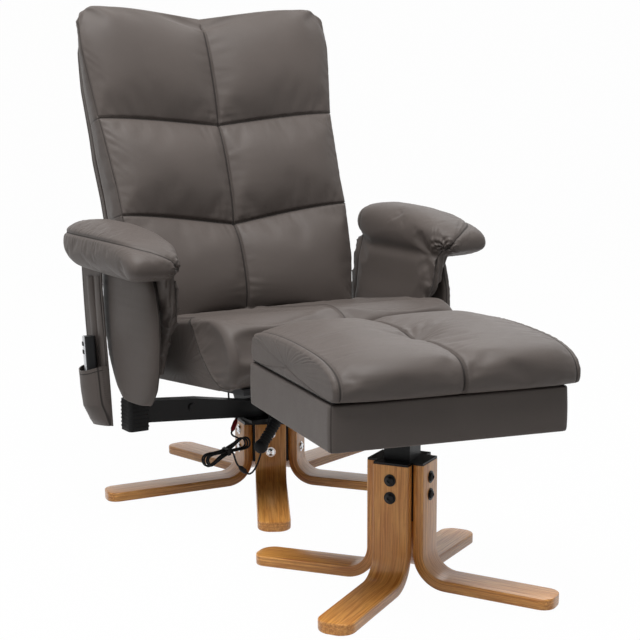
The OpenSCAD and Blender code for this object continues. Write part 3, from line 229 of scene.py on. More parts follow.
def stuff(piece, held, pressure, slack, cap):
    """Swells a closed skin with cloth simulation between its held points, none moving past the cap."""
    scene, frames = bpy.context.scene, 20
    start = coords(piece)
    group = piece.vertex_groups.new(name="held")
    levels = np.round(np.clip(held, 0, 1) * 10).astype(int)
    for level in range(1, 11):
        found = np.nonzero(levels == level)[0]
        if len(found):
            group.add(found.tolist(), level / 10, "REPLACE")
    cloth = piece.modifiers.new("Stuffing", "CLOTH")
    fabric = cloth.settings
    fabric.quality, fabric.mass, fabric.air_damping, fabric.bending_stiffness = 5, 0.3, 3, 2.5
    fabric.tension_stiffness = fabric.compression_stiffness = 25
    fabric.shear_stiffness = 12
    fabric.tension_damping = fabric.compression_damping = fabric.shear_damping = 12
    fabric.vertex_group_mass = "held"
    fabric.use_pressure, fabric.uniform_pressure_force, fabric.shrink_min = True, pressure, -slack
    fabric.effector_weights.gravity = 0
    cloth.point_cache.frame_start, cloth.point_cache.frame_end = 1, frames
    for step in range(1, frames + 1):
        scene.frame_set(step)
    graph = bpy.context.evaluated_depsgraph_get()
    move = field(piece.evaluated_get(graph).data.vertices, "co") - start
    piece.modifiers.remove(cloth)
    piece.vertex_groups.clear()
    scene.frame_set(1)
    if not np.isfinite(move).all():
        raise RuntimeError(f"{piece.name}: its stuffing did not settle")
    far = np.linalg.norm(move, axis=1)[:, None]
    set_coords(piece, start + move * np.minimum(1, cap * MM / np.maximum(far, 1e-9)))


def finer(piece):
    """Subdivides a piece once."""
    smooth = piece.modifiers.new("Finer", "SUBSURF")
    smooth.levels = smooth.render_levels = 1
    settle(piece)


def ripple(run, pitch, seed):
    """A line of uneven waves about zero, from -1 to 1."""
    rng = np.random.default_rng(seed)
    total = np.zeros_like(run)
    for _ in range(7):
        total += np.sin(run / pitch * rng.uniform(0.55, 1.7) * 2 * math.pi + rng.uniform(0, 2 * math.pi))
    return np.clip(total / 3.2, -1, 1)


def spaced(count, crowding=0.75):
    """Shares from 0 to 1, crowded towards both ends."""
    even = np.linspace(0, 1, count + 1)
    return (1 - crowding) * even + crowding * (0.5 - 0.5 * np.cos(math.pi * even))


def mark_seams(piece, gaps, runs):
    """Notes each point's signed distance from up to three seams and its run along them, in millimetres."""
    for name, values, bare in (("seam", gaps, FAR), ("run", runs, 0.0)):
        table = np.full((len(piece.data.vertices), 3), bare)
        table[:, :len(values)] = np.stack(list(values), -1)
        note(piece, name, table * MM)


def crease(piece, depths, width, pucker, pitch, reach, seed):
    """Draws a piece in along its noted seams, with shallow puckers running off them."""
    gaps, runs = (field(piece.data.attributes[name].data) / MM for name in ("seam", "run"))
    move = np.zeros(len(gaps))
    for i, depth in enumerate(depths):
        gap, run = np.abs(gaps[:, i]), runs[:, i]
        lean = run + np.where(gaps[:, i] < 0, 0.37 * pitch, 0) + 0.25 * gap * ripple(run, 3 * pitch, seed + 9)
        wave = ripple(lean, pitch, seed + i) * (0.55 + 0.5 * ripple(run, 4.5 * pitch, seed + 50 + i))
        move += pucker * wave * np.exp(-gap / reach) * (1 - np.exp(-(gap / 6) ** 2))
        move -= depth * np.exp(-(gap / width) ** 2)
    set_coords(piece, coords(piece) + field(piece.data.vertex_normals) * (move * MM)[:, None])


def finish(piece, name):
    """Gives a piece or a kept solid its finish."""
    piece.data.materials.clear()
    piece.data.materials.append(look(name))


def dress(piece, body, slot, name, *nodes):
    """Gives a piece its finish and its body, and hides the solids that it stands for."""
    finish(piece, name)
    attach(piece, body)
    if nodes:
        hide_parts(*nodes)


# Finishes

class Graph:
    """The nodes of a material, or of the world."""

    def __init__(self, owner, shader, **inputs):
        owner.use_nodes = True
        self.look, self.tree = owner, owner.node_tree
        self.shader = self.tree.nodes[shader]
        self.surface(**inputs)

    def put(self, socket, source):
        """Links an input, or sets it."""
        if isinstance(source, bpy.types.NodeSocket):
            self.tree.links.new(source, socket)
        else:
            socket.default_value = source

    def surface(self, **inputs):
        """Links or sets the shader's own inputs."""
        for name, source in inputs.items():
            self.put(self.shader.inputs[name.replace("_", " ").title().replace("Ior", "IOR")], source)
        return self.look

    def node(self, kind, inputs=None, **settings):
        """A node with its inputs linked or set."""
        made = self.tree.nodes.new("ShaderNode" + kind)
        for key, value in settings.items():
            setattr(made, key, value)
        for key, source in (inputs or {}).items():
            self.put(made.inputs[key], source)
        return made

    def place(self):
        return self.node("TexCoord").outputs["Object"]

    def stored(self, name):
        """A vector stored on the mesh."""
        return self.node("Attribute", attribute_name=name).outputs["Vector"]

    def parts(self, vector):
        """The three numbers of a vector."""
        return self.node("SeparateXYZ", {0: vector}).outputs

    def scaled(self, source, scale):
        return self.node("Mapping", {"Vector": source, "Scale": scale}).outputs["Vector"]

    def noise(self, place, scale, detail, roughness=0.5, distortion=0.0):
        return self.node("TexNoise", {"Vector": place, "Scale": scale, "Detail": detail,
                                      "Roughness": roughness, "Distortion": distortion}).outputs["Fac"]

    def cells(self, place, scale, feature="DISTANCE_TO_EDGE"):
        return self.node("TexVoronoi", {"Vector": place, "Scale": scale}, feature=feature).outputs["Distance"]

    def sum(self, operation, *parts):
        return self.node("Math", dict(enumerate(parts)), operation=operation).outputs[0]

    def times(self, a, b):
        return self.sum("MULTIPLY", a, b)

    def ramp(self, source, low, high, start=0.0, end=1.0):
        return self.node("MapRange", {"Value": source, "From Min": low, "From Max": high, "To Min": start,
                                      "To Max": end}).outputs["Result"]

    def blend(self, share, a, b):
        """A mix of two colours."""
        mix = self.node("Mix", {"Factor": share}, data_type="RGBA")
        ends = [socket for socket in mix.inputs if socket.type == "RGBA"]
        for socket, colour in zip(ends, (a, b)):
            self.put(socket, (*colour, 1) if isinstance(colour, tuple) else colour)
        return [socket for socket in mix.outputs if socket.type == "RGBA"][0]

    def bump(self, height, distance, strength, **under):
        return self.node("Bump", {"Height": height, "Distance": distance, "Strength": strength,
                                  **under}).outputs["Normal"]

    def seen(self):
        """1 for a ray from the camera, a mirror or glass, otherwise 0."""
        ray = self.node("LightPath").outputs
        either = self.sum("MAXIMUM", ray["Is Camera Ray"], ray["Is Glossy Ray"])
        return self.sum("MAXIMUM", either, ray["Is Transmission Ray"])


def material(name, **inputs):
    """A new material's nodes, with inputs of its shader set."""
    return Graph(bpy.data.materials.new(name), "Principled BSDF", **inputs)


def shade(tint, share):
    """A colour made darker or lighter."""
    return tuple(share * c for c in tint)


def leather(name, tint, grain):
    """Soft coated leather: pebbled grain, fine creases, a dark line of painted shade and dirt in each seam, and
    paired stitching.
    """
    g = material(name, sheen_weight=0.03, sheen_roughness=0.45, sheen_tint=(0.8, 0.76, 0.72, 1),
                 specular_ior_level=0.22)
    here = g.place()
    cloud = g.noise(here, 7, 3, 0.55)
    pebble = g.cells(here, 700)
    fine = g.noise(here, 1500, 2, 0.6)
    creases = g.noise(here, 55, 5, 0.62, 0.6)
    line = stitch = 0.0
    for gap, run in zip(g.parts(g.stored("seam")), g.parts(g.stored("run"))):
        far = g.sum("ABSOLUTE", gap)
        # painted shade: the band close to each seam is marked for darkening, standing for the shade in the seam's
        # gap together with some dirt
        line = g.sum("MAXIMUM", line, g.ramp(far, 0.0005, 0.0018, 1, 0))
        beside = g.ramp(g.sum("ABSOLUTE", g.sum("SUBTRACT", far, 0.0044)), 0.0002, 0.0008, 1, 0)
        dashes = g.times(beside, g.ramp(g.sum("PINGPONG", run, 0.0024), 0.0008, 0.0011))
        stitch = g.sum("MAXIMUM", stitch, dashes)
    base = g.blend(g.ramp(cloud, 0.3, 0.7), shade(tint, 0.94), shade(tint, 1.06))
    base = g.blend(g.ramp(pebble, 0.0, 0.25, 0.14, 0), base, shade(tint, 0.55))
    # painted shade with some dirt: the leather is darkened almost to black along each seam line
    base = g.blend(g.times(line, 0.85), base, shade(tint, 0.15))
    base = g.blend(g.times(stitch, 0.5), base, shade(tint, 0.6))
    rough = g.sum("MULTIPLY_ADD", creases, 0.14, g.ramp(pebble, 0, 0.3, 0.46, 0.38))
    height = g.sum("MULTIPLY_ADD", g.ramp(pebble, 0, 0.28), 0.6, g.times(fine, 0.3))
    under = g.bump(g.sum("ADD", creases, g.times(line, -1.5)), 0.001, 0.3 * grain)
    under = g.bump(stitch, 0.0005, 0.5, Normal=under)
    return g.surface(base_color=base, roughness=g.sum("ADD", rough, g.times(line, 0.2)),
                     normal=g.bump(height, 0.0002, 0.5 * grain, Normal=under))


def bentwood(name, light, dark, ply):
    """Lacquered bent oak: long grain that follows the bend, pores, and the plies on its edges."""
    g = material(name, coat_weight=0.4, coat_roughness=0.2, specular_ior_level=0.3)
    grain = g.stored("grain")
    slow = g.noise(g.scaled(grain, (5, 38, 38)), 1.0, 3, 0.5, 0.5)
    flame = g.noise(g.scaled(grain, (9, 240, 240)), 1.0, 4, 0.6, 0.7)
    pores = g.noise(g.scaled(grain, (60, 1500, 1500)), 1.0, 2, 0.6)
    sheet = g.sum("MULTIPLY_ADD", g.parts(grain)[2], 1 / ply, 0.5)
    part = g.sum("FRACT", sheet)
    order = g.node("TexWhiteNoise", {"W": g.sum("FLOOR", sheet)}, noise_dimensions="1D").outputs["Value"]
    glue = g.sum("MAXIMUM", g.ramp(part, 0.0, 0.14, 1, 0), g.ramp(part, 0.86, 1.0, 0, 1))
    base = g.blend(g.ramp(flame, 0.36, 0.66), dark, light)
    base = g.blend(g.times(g.ramp(slow, 0.35, 0.7), 0.3), base, shade(light, 0.8))
    base = g.blend(g.times(order, 0.35), base, shade(dark, 0.6))
    base = g.blend(g.times(glue, 0.5), base, shade(dark, 0.35))
    base = g.blend(g.ramp(pores, 0.62, 0.72, 0, 0.5), base, shade(dark, 0.4))
    height = g.sum("MULTIPLY_ADD", pores, -0.5, g.sum("MULTIPLY_ADD", flame, 0.3, g.times(glue, -0.8)))
    return g.surface(base_color=base, roughness=g.ramp(flame, 0.3, 0.7, 0.42, 0.3),
                     normal=g.bump(height, 0.00025, 0.4))


def board(name, light, dark):
    """Raw plywood or chipboard, hidden inside the upholstery."""
    g = material(name, roughness=0.75)
    here = g.place()
    long = g.noise(g.scaled(here, (4, 60, 60)), 1.0, 4, 0.6, 0.8)
    base = g.blend(g.ramp(long, 0.35, 0.65), dark, light)
    base = g.blend(g.ramp(g.cells(here, 260, "F1"), 0.2, 0.6, 0.25, 0), base, shade(dark, 0.6))
    return g.surface(base_color=base, normal=g.bump(long, 0.0004, 0.4))


def painted(name, tint, rough, metal=0.0, size=900, depth=0.00012):
    """Painted or moulded surface with a fine orange-peel texture and slight wear."""
    g = material(name, metallic=metal, specular_ior_level=0.2)
    here = g.place()
    wear = g.noise(here, 22, 4, 0.6)
    base = g.blend(g.ramp(wear, 0.35, 0.75), shade(tint, 0.85), shade(tint, 1.25))
    return g.surface(base_color=base, roughness=g.ramp(wear, 0.3, 0.7, rough - 0.06, rough + 0.08),
                     normal=g.bump(g.noise(here, size, 2), depth, 0.5))


def chrome(name, tint):
    """Bright plated steel, slightly brushed."""
    g = material(name, metallic=1.0)
    brush = g.noise(g.scaled(g.place(), (40, 40, 2400)), 1.0, 2)
    return g.surface(base_color=g.blend(g.ramp(brush, 0.3, 0.7), shade(tint, 0.9), tint),
                     roughness=g.ramp(brush, 0.3, 0.7, 0.14, 0.26), normal=g.bump(brush, 0.00005, 0.3))


def woven(name, tint):
    """Plain woven lining cloth."""
    g = material(name, roughness=0.85, sheen_weight=0.1)
    here = g.place()
    weave = g.times(*(g.node("TexWave", {"Vector": here, "Scale": 240, "Distortion": 0.6},
                             bands_direction=way).outputs["Fac"] for way in "XZ"))
    return g.surface(base_color=g.blend(weave, shade(tint, 0.6), shade(tint, 1.2)),
                     normal=g.bump(weave, 0.0003, 0.5))


LOOKS = {}


def look(name):
    """A finish by its name, made once from the panel's settings."""
    if name not in LOOKS:
        cover, timber, fittings = (getattr(bpy.context.scene, "recliner_" + k)
                                   for k in ("leather", "timber", "fittings"))
        maker, *details = {
            "leather": (leather, "coated_leather", tuple(cover.colour), cover.grain),
            "bentwood": (bentwood, "lacquered_oak", tuple(timber.light), tuple(timber.dark), timber.ply * MM),
            "board": (board, "raw_board", (0.45, 0.3, 0.15), (0.3, 0.19, 0.09)),
            "steel": (painted, "black_enamel", tuple(fittings.enamel), 0.36),
            "plastic": (painted, "black_moulding", tuple(fittings.moulding), 0.5, 0, 1400, 0.0001),
            "rubber": (painted, "black_rubber", tuple(fittings.moulding), 0.62, 0, 700, 0.0002),
            "chrome": (chrome, "plated_steel", (0.72, 0.73, 0.75)),
            "red": (painted, "red_moulding", tuple(fittings.coupler), 0.3),
            "silver": (painted, "silver_moulding", (0.6, 0.61, 0.63), 0.3, 0.4),
            "lining": (woven, "black_lining", (0.03, 0.03, 0.032)),
        }[name]
        LOOKS[name] = maker(*details)
    return LOOKS[name]


# Settings

class LeatherSettings(bpy.types.PropertyGroup):
    """Covers of the seat, back, arms, pocket, box and lid."""
    colour: FloatVectorProperty(name="Colour", description="Colour of the leather", subtype="COLOR",
                                default=(0.098, 0.082, 0.074), min=0, max=1)
    grain: FloatProperty(name="Grain", description="Depth of the leather's grain", default=1.0, min=0, max=3)
    pucker: FloatProperty(name="Pucker", description="Height of the puckers along the seams in millimetres",
                          default=1.0, min=0, max=5)
    pressure: FloatProperty(name="Filling", description="How hard the cushions are stuffed", default=4.0,
                            min=0, max=10)


class TimberSettings(bpy.types.PropertyGroup):
    """Bent oak legs."""
    light: FloatVectorProperty(name="Light wood", description="Colour of the wood between the grain lines",
                               subtype="COLOR", default=(1.0, 0.5, 0.13), min=0, max=1)
    dark: FloatVectorProperty(name="Dark grain", description="Colour of the grain lines", subtype="COLOR",
                              size=3, default=(0.52, 0.165, 0.024), min=0, max=1)
    ply: FloatProperty(name="Ply", description="Thickness of one ply in millimetres", default=1.8, min=0.5,
                       max=5)


class FittingSettings(bpy.types.PropertyGroup):
    """Metal and moulded fittings."""
    enamel: FloatVectorProperty(name="Enamel", description="Colour of the painted steel", subtype="COLOR",
                                size=3, default=(0.006, 0.006, 0.0065), min=0, max=1)
    moulding: FloatVectorProperty(name="Moulding", description="Colour of the black mouldings",
                                  subtype="COLOR", default=(0.009, 0.009, 0.0095), min=0, max=1)
    coupler: FloatVectorProperty(name="Coupler", description="Colour of the barrel coupler on the lead",
                                 subtype="COLOR", default=(0.28, 0.015, 0.02), min=0, max=1)
    lead: FloatProperty(name="Lead", description="Diameter of the thin lead", default=0.004, min=0.002,
                        max=0.008, unit="LENGTH")


class StudioSettings(bpy.types.PropertyGroup):
    """Floor, lamps and camera."""
    floor: FloatVectorProperty(name="Floor", description="Colour of the floor and backdrop", subtype="COLOR",
                               size=3, default=(0.62, 0.62, 0.62), min=0, max=1)
    key: FloatProperty(name="Key lamp", description="Power of the lamp overhead in watts", default=172, min=0,
                       unit="POWER")
    fill: FloatProperty(name="Fill lamp", description="Power of the lamp at the left in watts", default=13,
                        min=0, unit="POWER")
    sky: FloatProperty(name="Sky", description="Strength of the even light", default=0.09, min=0)
    lens: FloatProperty(name="Lens", description="Focal length of the camera in millimetres", default=86.92,
                        min=10)


# Studio

class RECLINER_OT_studio(bpy.types.Operator):
    """Sets the camera, the lamps, the floor and the backdrop"""
    bl_idname = "recliner.studio"
    bl_label = "Studio"

    def execute(self, context):
        studio = context.scene.recliner_studio
        self.camera(context, studio.lens)
        self.lamp("overhead_lamp", studio.key, 2.6, (-0.7, -0.9, 3.6))
        self.lamp("side_lamp", studio.fill, 1.8, (-3.4, 0.4, 1.7))
        self.lamp("rear_lamp", 0.1 * studio.key, 1.6, (2.2, 1.2, 2.6))
        self.sky(context, studio.sky)
        context.scene.view_settings.view_transform = "Standard"
        self.floor(tuple(studio.floor))
        return {"FINISHED"}

    def sky(self, context, strength):
        """An even light that shows white where it is seen or mirrored."""
        g = Graph(bpy.data.worlds.new("even_light"), "Background", color=(1, 1, 1, 1))
        context.scene.world = g.surface(strength=g.ramp(g.seen(), 0, 1, strength, 1))

    def camera(self, context, lens):
        data = bpy.data.cameras.new("camera")
        data.lens, data.sensor_width, data.clip_start = lens, 36, 0.05
        camera = add("camera", data)
        forward = Vector((0.52365, 0.83616, -0.16319)).normalized()
        right = forward.cross(Vector((0, 0, 1))).normalized()
        up = right.cross(forward)
        roll = math.radians(-0.13)
        right, up = (math.cos(roll) * right + math.sin(roll) * up,
                     math.cos(roll) * up - math.sin(roll) * right)
        turn = Matrix((right, up, -forward)).transposed().to_4x4()
        camera.matrix_world = Matrix.Translation((-1.7024, -2.9318, 0.9352)) @ turn
        context.scene.camera = camera

    def lamp(self, name, power, size, place):
        data = bpy.data.lights.new(name, "AREA")
        data.energy, data.size = power, size
        lamp = add(name, data)
        lamp.location, lamp.rotation_mode = place, "QUATERNION"
        lamp.rotation_quaternion = (Vector((-0.05, -0.3, 0.45)) - Vector(place)).to_track_quat("-Z", "Y")

    def floor(self, tint):
        """A floor that bends up into a backdrop, shown white and lighting the chair as pale grey."""
        g = material("pale_floor", roughness=0.9, specular_ior_level=0.2)
        cloud = g.noise(g.place(), 3, 2)
        g.surface(base_color=g.blend(g.ramp(cloud, 0.3, 0.7), shade(tint, 0.99), tint))
        glow = g.node("Emission", {"Color": (1, 1, 1, 1), "Strength": 1.0}).outputs[0]
        mix = g.node("MixShader", {0: g.times(g.seen(), 0.985), 1: g.shader.outputs[0], 2: glow})
        g.put(g.tree.nodes["Material Output"].inputs["Surface"], mix.outputs[0])
        size, bend, high = 9000, 2500, 7000
        profile = [(-size, 0), (size - bend, 0)]
        profile += [(size - bend + bend * math.sin(a), bend - bend * math.cos(a))
                    for a in np.linspace(0.1, math.pi / 2, 14)]
        profile += [(size, high)]
        back, side = np.array([0.5303, 0.8478]), np.array([0.8478, -0.5303])
        verts = [(*(away * back + across * side), up) for away, up in profile for across in (-size, size)]
        faces = [(i, i + 1, i + 3, i + 2) for i in range(0, len(verts) - 2, 2)]
        sweep = make("studio_floor", verts, faces)
        sweep.data.materials.append(g.look)


# Lead

EXIT = [(-108, -14, 263.8), (-110, -14, 253), (-112, -14, 236), (-112, -14, 218), (-110, -14.5, 200),
        (-107.5, -16.5, 188), (-105, -21, 180.5), (-103.4, -26.5, 176.4), (-103, -32, 174.4),
        (-103.9, -36, 173), (-106.8, -38, 169.5)]
DROP = [(-124.4, -50, 148.2), (-126.5, -51.5, 145.6), (-127.6, -54.5, 142.6), (-126.6, -59, 139.8),
        (-124.2, -63.5, 138.2), (-122.3, -68.9, 137.4), (-122.6, -73.7, 136.6), (-125.2, -77.3, 134.7),
        (-127.7, -78.82, 133.39)]
LINK = [(-157.05, -95.885, 112.376), (-153.6, -96.2, 113.5), (-150, -96.3, 113.2), (-147, -96.1, 110.6),
        (-145, -95.7, 105.5), (-142.2, -95, 98), (-138.6, -93.8, 89.5), (-134.4, -92.7, 82.6),
        (-130, -92, 78)]
RETURN = [(-112, -90, 62), (-109, -89.7, 59.4), (-103, -90, 58.3), (-96, -91.5, 63), (-89, -95, 76),
          (-83, -99, 96), (-77, -102, 120), (-71, -103, 144), (-64, -104, 170), (-58, -104, 200),
          (-56, -104, 235), (-56, -104, 262), (-56, -104, 270.6)]


def hank_loops():
    """The tied hank: round-ended loops, drawn in at their waist, each beside the last."""
    along = np.array([0.93, -0.08, 0.36])
    along /= np.linalg.norm(along)
    side = np.cross(along, [0, 0, 1])
    side /= np.linalg.norm(side)
    up = np.cross(side, along)
    start, end, turns = 58, 262, 3
    sweep = 360 * turns + end - start
    points = []
    for turned_by in np.linspace(0, sweep, round(sweep / 15) + 1):
        a, share = math.radians(start + turned_by), turned_by / sweep
        full = min(1.0, turned_by / 70, (sweep - turned_by) / 70)
        loose = full * math.sin(0.83 * math.radians(turned_by))
        half = (15 + 14 * full + 3 * loose) * (0.24 - 0.12 * full + (0.76 + 0.12 * full) * math.cos(a) ** 2)
        points.append(np.array([-158, -86, 115]) + (52 + 4 * loose) * math.cos(a) * along
                      + half * math.sin(a) * up + 5.4 * sweep / 360 * (share - 0.5) * side)
    first, last = points[1] - points[0], points[-1] - points[-2]
    return ([points[0] - 4 * first / np.linalg.norm(first)] + points
            + [points[-1] + 4 * last / np.linalg.norm(last)])


class RECLINER_OT_lead(bpy.types.Operator):
    """Runs the thin lead from the seat through its coupler and its tied hank, and back up to the seat"""
    bl_idname = "recliner.lead"
    bl_label = "Lead"

    def execute(self, context):
        size = context.scene.recliner_fittings.lead
        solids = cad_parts
        for node, name in (("lead_coupler", "red"), ("inline_coupler", "rubber"), ("lead_tie", "plastic")):
            finish(solids[node], name)
        self.stretch("lead_from_seat", EXIT, size, "connector", "hanging", ["lead_exit"],
                     [solids["lead_coupler"]])
        self.stretch("lead_with_hank", DROP + hank_loops() + LINK, size, "connector", "coiled",
                     ["lead_drop", "lead_hank", "lead_link"], [solids["lead_tie"], solids["inline_coupler"]])
        self.stretch("lead_back_up", RETURN, size, "object", "hanging", ["lead_return"], [])
        return {"FINISHED"}

    def stretch(self, name, route, size, far_end, lay, stands_for, fittings):
        route = np.asarray(route, float)
        route = flowing(route, max(24, int(run_along(route)[-1] / 2))) * MM
        curve = bpy.data.curves.new(name, "CURVE")
        curve.dimensions, curve.use_fill_caps = "3D", True
        curve.bevel_depth, curve.bevel_resolution = size / 2, 5
        spline = curve.splines.new("POLY")
        spline.points.add(len(route) - 1)
        for point, place in zip(spline.points, route):
            point.co = (*place, 1)
        piece = add(name, curve)
        dress(piece, "seat_carriage", "lead_rubber", "rubber", *stands_for)
        tuple(route[0])


# Bentwood

def leg_skin(inner, thick, bend, reach, top, slope, place):
    """A bent leg: upright against the hub, round the bend and out along the floor, its tip rounded."""
    width, edge, tip, foot = 68.0, 3.0, 24.0, 3.0
    tilt, mid = math.radians(slope), bend + thick / 2
    centre_x = inner + thick + bend
    run = (reach - centre_x + (bend + thick) * math.sin(tilt)) / math.cos(tilt)
    centre_z = foot + (bend + thick) * math.cos(tilt) + run * math.sin(tilt)
    centre = np.array([centre_x, centre_z])
    out, down = np.array([(math.cos(tilt), -math.sin(tilt)), (-math.sin(tilt), -math.cos(tilt))])
    upright = np.linspace(top, centre_z, 9)[:-1]
    turns = np.linspace(0, math.pi / 2 - tilt, 22)[:-1]
    turns = -np.stack([np.cos(turns), np.sin(turns)], -1)
    stops = np.concatenate([np.linspace(0, run - tip, 14)[:-1],
                            run - tip + tip * np.sin(np.linspace(0, math.pi / 2, 12))])
    line = np.vstack([np.column_stack([np.full(len(upright), inner + thick / 2), upright]),
                      centre + mid * turns, centre + mid * down + stops[:, None] * out])
    ways = np.vstack([np.tile([-1.0, 0.0], (len(upright), 1)), turns, np.tile(down, (len(stops), 1))])
    over = np.maximum(0, stops - (run - tip))
    half_widths = np.append(np.full(len(line) - len(stops), width / 2),
                            width / 2 - tip + np.sqrt(np.maximum(0, tip ** 2 - over ** 2)))
    length = run_along(line)
    rings, notes = [], []
    for (x, z), way, half, far in zip(line, ways, half_widths, length):
        across, deep = rounded(half, thick / 2, edge, 5).T
        rings.append(np.stack([x + deep * way[0], across, z + deep * way[1]], -1))
        notes.append(np.stack([np.full_like(deep, far), across, deep + thick / 2], -1))
    verts, faces = skin(rings)
    notes = np.vstack([*notes, [0, 0, thick / 2], [length[-1], 0, thick / 2]])
    return place(verts), faces, notes


class RECLINER_OT_bentwood(bpy.types.Operator):
    """Bends the five chair legs and the four ottoman legs, with grain that follows the bend"""
    bl_idname = "recliner.bentwood"
    bl_label = "Bentwood legs"

    def execute(self, context):
        for i in range(5):
            turn = -118.95 + 72 * i
            self.leg(f"chair_leg_{i + 1}", "chair_base", f"base_leg_{i + 1}", (52, 20, 40, 377, 155, 2.0),
                     lambda p, t=turn: turned(p, "Z", t), 1.7 * i)
        for i in range(1, 5):
            turn = 42.6 + 90 * i
            self.leg(f"ottoman_bent_leg_{i}", "ottoman", f"ottoman_leg_{i}",
                     (34.8, 20, 44, 293, 235, 1.8), lambda p, t=turn: on_ottoman(turned(p, "Z", t)),
                     10 + 1.3 * i)
        return {"FINISHED"}

    def leg(self, name, body, node, sizes, place, offset):
        verts, faces, notes = leg_skin(*sizes, place)
        piece = make(name, verts, faces, 40)
        note(piece, "grain", notes * MM + [offset, 0.37 * offset, 0])
        dress(piece, body, "bentwood", "bentwood", node)


# Metal and moulded fittings

class RECLINER_OT_fittings(bpy.types.Operator):
    """Finishes the hub, post, cross-member, brackets, bolts, glides, motors, boards, lever and control box"""
    bl_idname = "recliner.fittings"
    bl_label = "Metal and moulded fittings"

    finishes = {
        "steel": ("base_hub", "swivel_bearing", "swivel_plate", "cross_member", "seat_brackets",
                  "back_brackets", "lever_arm", "ottoman_post", "ottoman_bolts", "ottoman_hinge_leaves",
                  "lid_hinge_leaves", "carriage_bolts"),
        "chrome": ("base_bolts",),
        "plastic": ("base_glides", "ottoman_glides", "seat_motors", "back_motors", "control_box",
                    "remote_body"),
        "rubber": ("arm_cap_left", "arm_cap_right", "lever_grip", "remote_button_1", "remote_button_2",
                   "remote_button_3", "remote_button_4"),
        "board": ("back_frame",),
        "lining": ("seat_frame", "lid_board", "ottoman_floor"),
        "silver": ("remote_face",),
    }

    def execute(self, context):
        for name, nodes in self.finishes.items():
            for node in nodes:
                finish(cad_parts[node], name)
        return {"FINISHED"}


# Cushions

def puffed(share):
    """Height of a stuffed panel across its width, 0 at its seams and 1 in its middle."""
    return 1 - np.abs(2 * np.clip(share, 0, 1) - 1) ** 2.8


BACK_LOW, BACK_LEN, BACK_SEAM_W, BACK_REAR_W = 52.0, 667.0, 39.0, -25.0
BACK_ROWS = (0.0, 0.29, 0.637, 1.0)
BACK_DROOPS = (-14.0, 28.0, 21.0)
BACK_LIFTS = (20.0, 12.0, 8.0)
BACK_WIDTHS = np.array([(0, 0.83), (0.14, 0.885), (0.3, 0.9), (0.42, 0.905), (0.637, 0.935), (0.86, 0.985),
                        (0.94, 1), (1, 0.995)])
BACK_DRAWS = np.array([(0, 6), (0.55, 7), (0.8, 20), (0.92, 33), (1, 46)])
BACK_WRAPS = np.array([(0, 0.95), (0.33, 1), (0.67, 0.5), (0.93, 0.62), (1, 0.58)])


def back_half(share):
    """Half width of the back at a share of its length."""
    return 322 * read(BACK_WIDTHS, share)


def back_draw(share):
    """How much narrower the back's rear edge is than its front edge, at each side."""
    return read(BACK_DRAWS, share)


def back_line(row, across):
    """Height along the back of a seam between rows, at a share of the half width."""
    a = np.abs(across)
    if row == 3:
        corner = 1 - np.sqrt(1 - (0.97 * np.clip((a - 0.86) / 0.14, 0, 1)) ** 2)
        wave = np.sin(np.radians(128 * (np.sqrt(a ** 2 + 0.014) - 0.12)))
        return BACK_LOW + BACK_LEN - 18 + 47 * wave - 38 * corner
    return BACK_LOW + BACK_LEN * BACK_ROWS[row] + BACK_DROOPS[row] * np.sin(0.5 * math.pi * a)


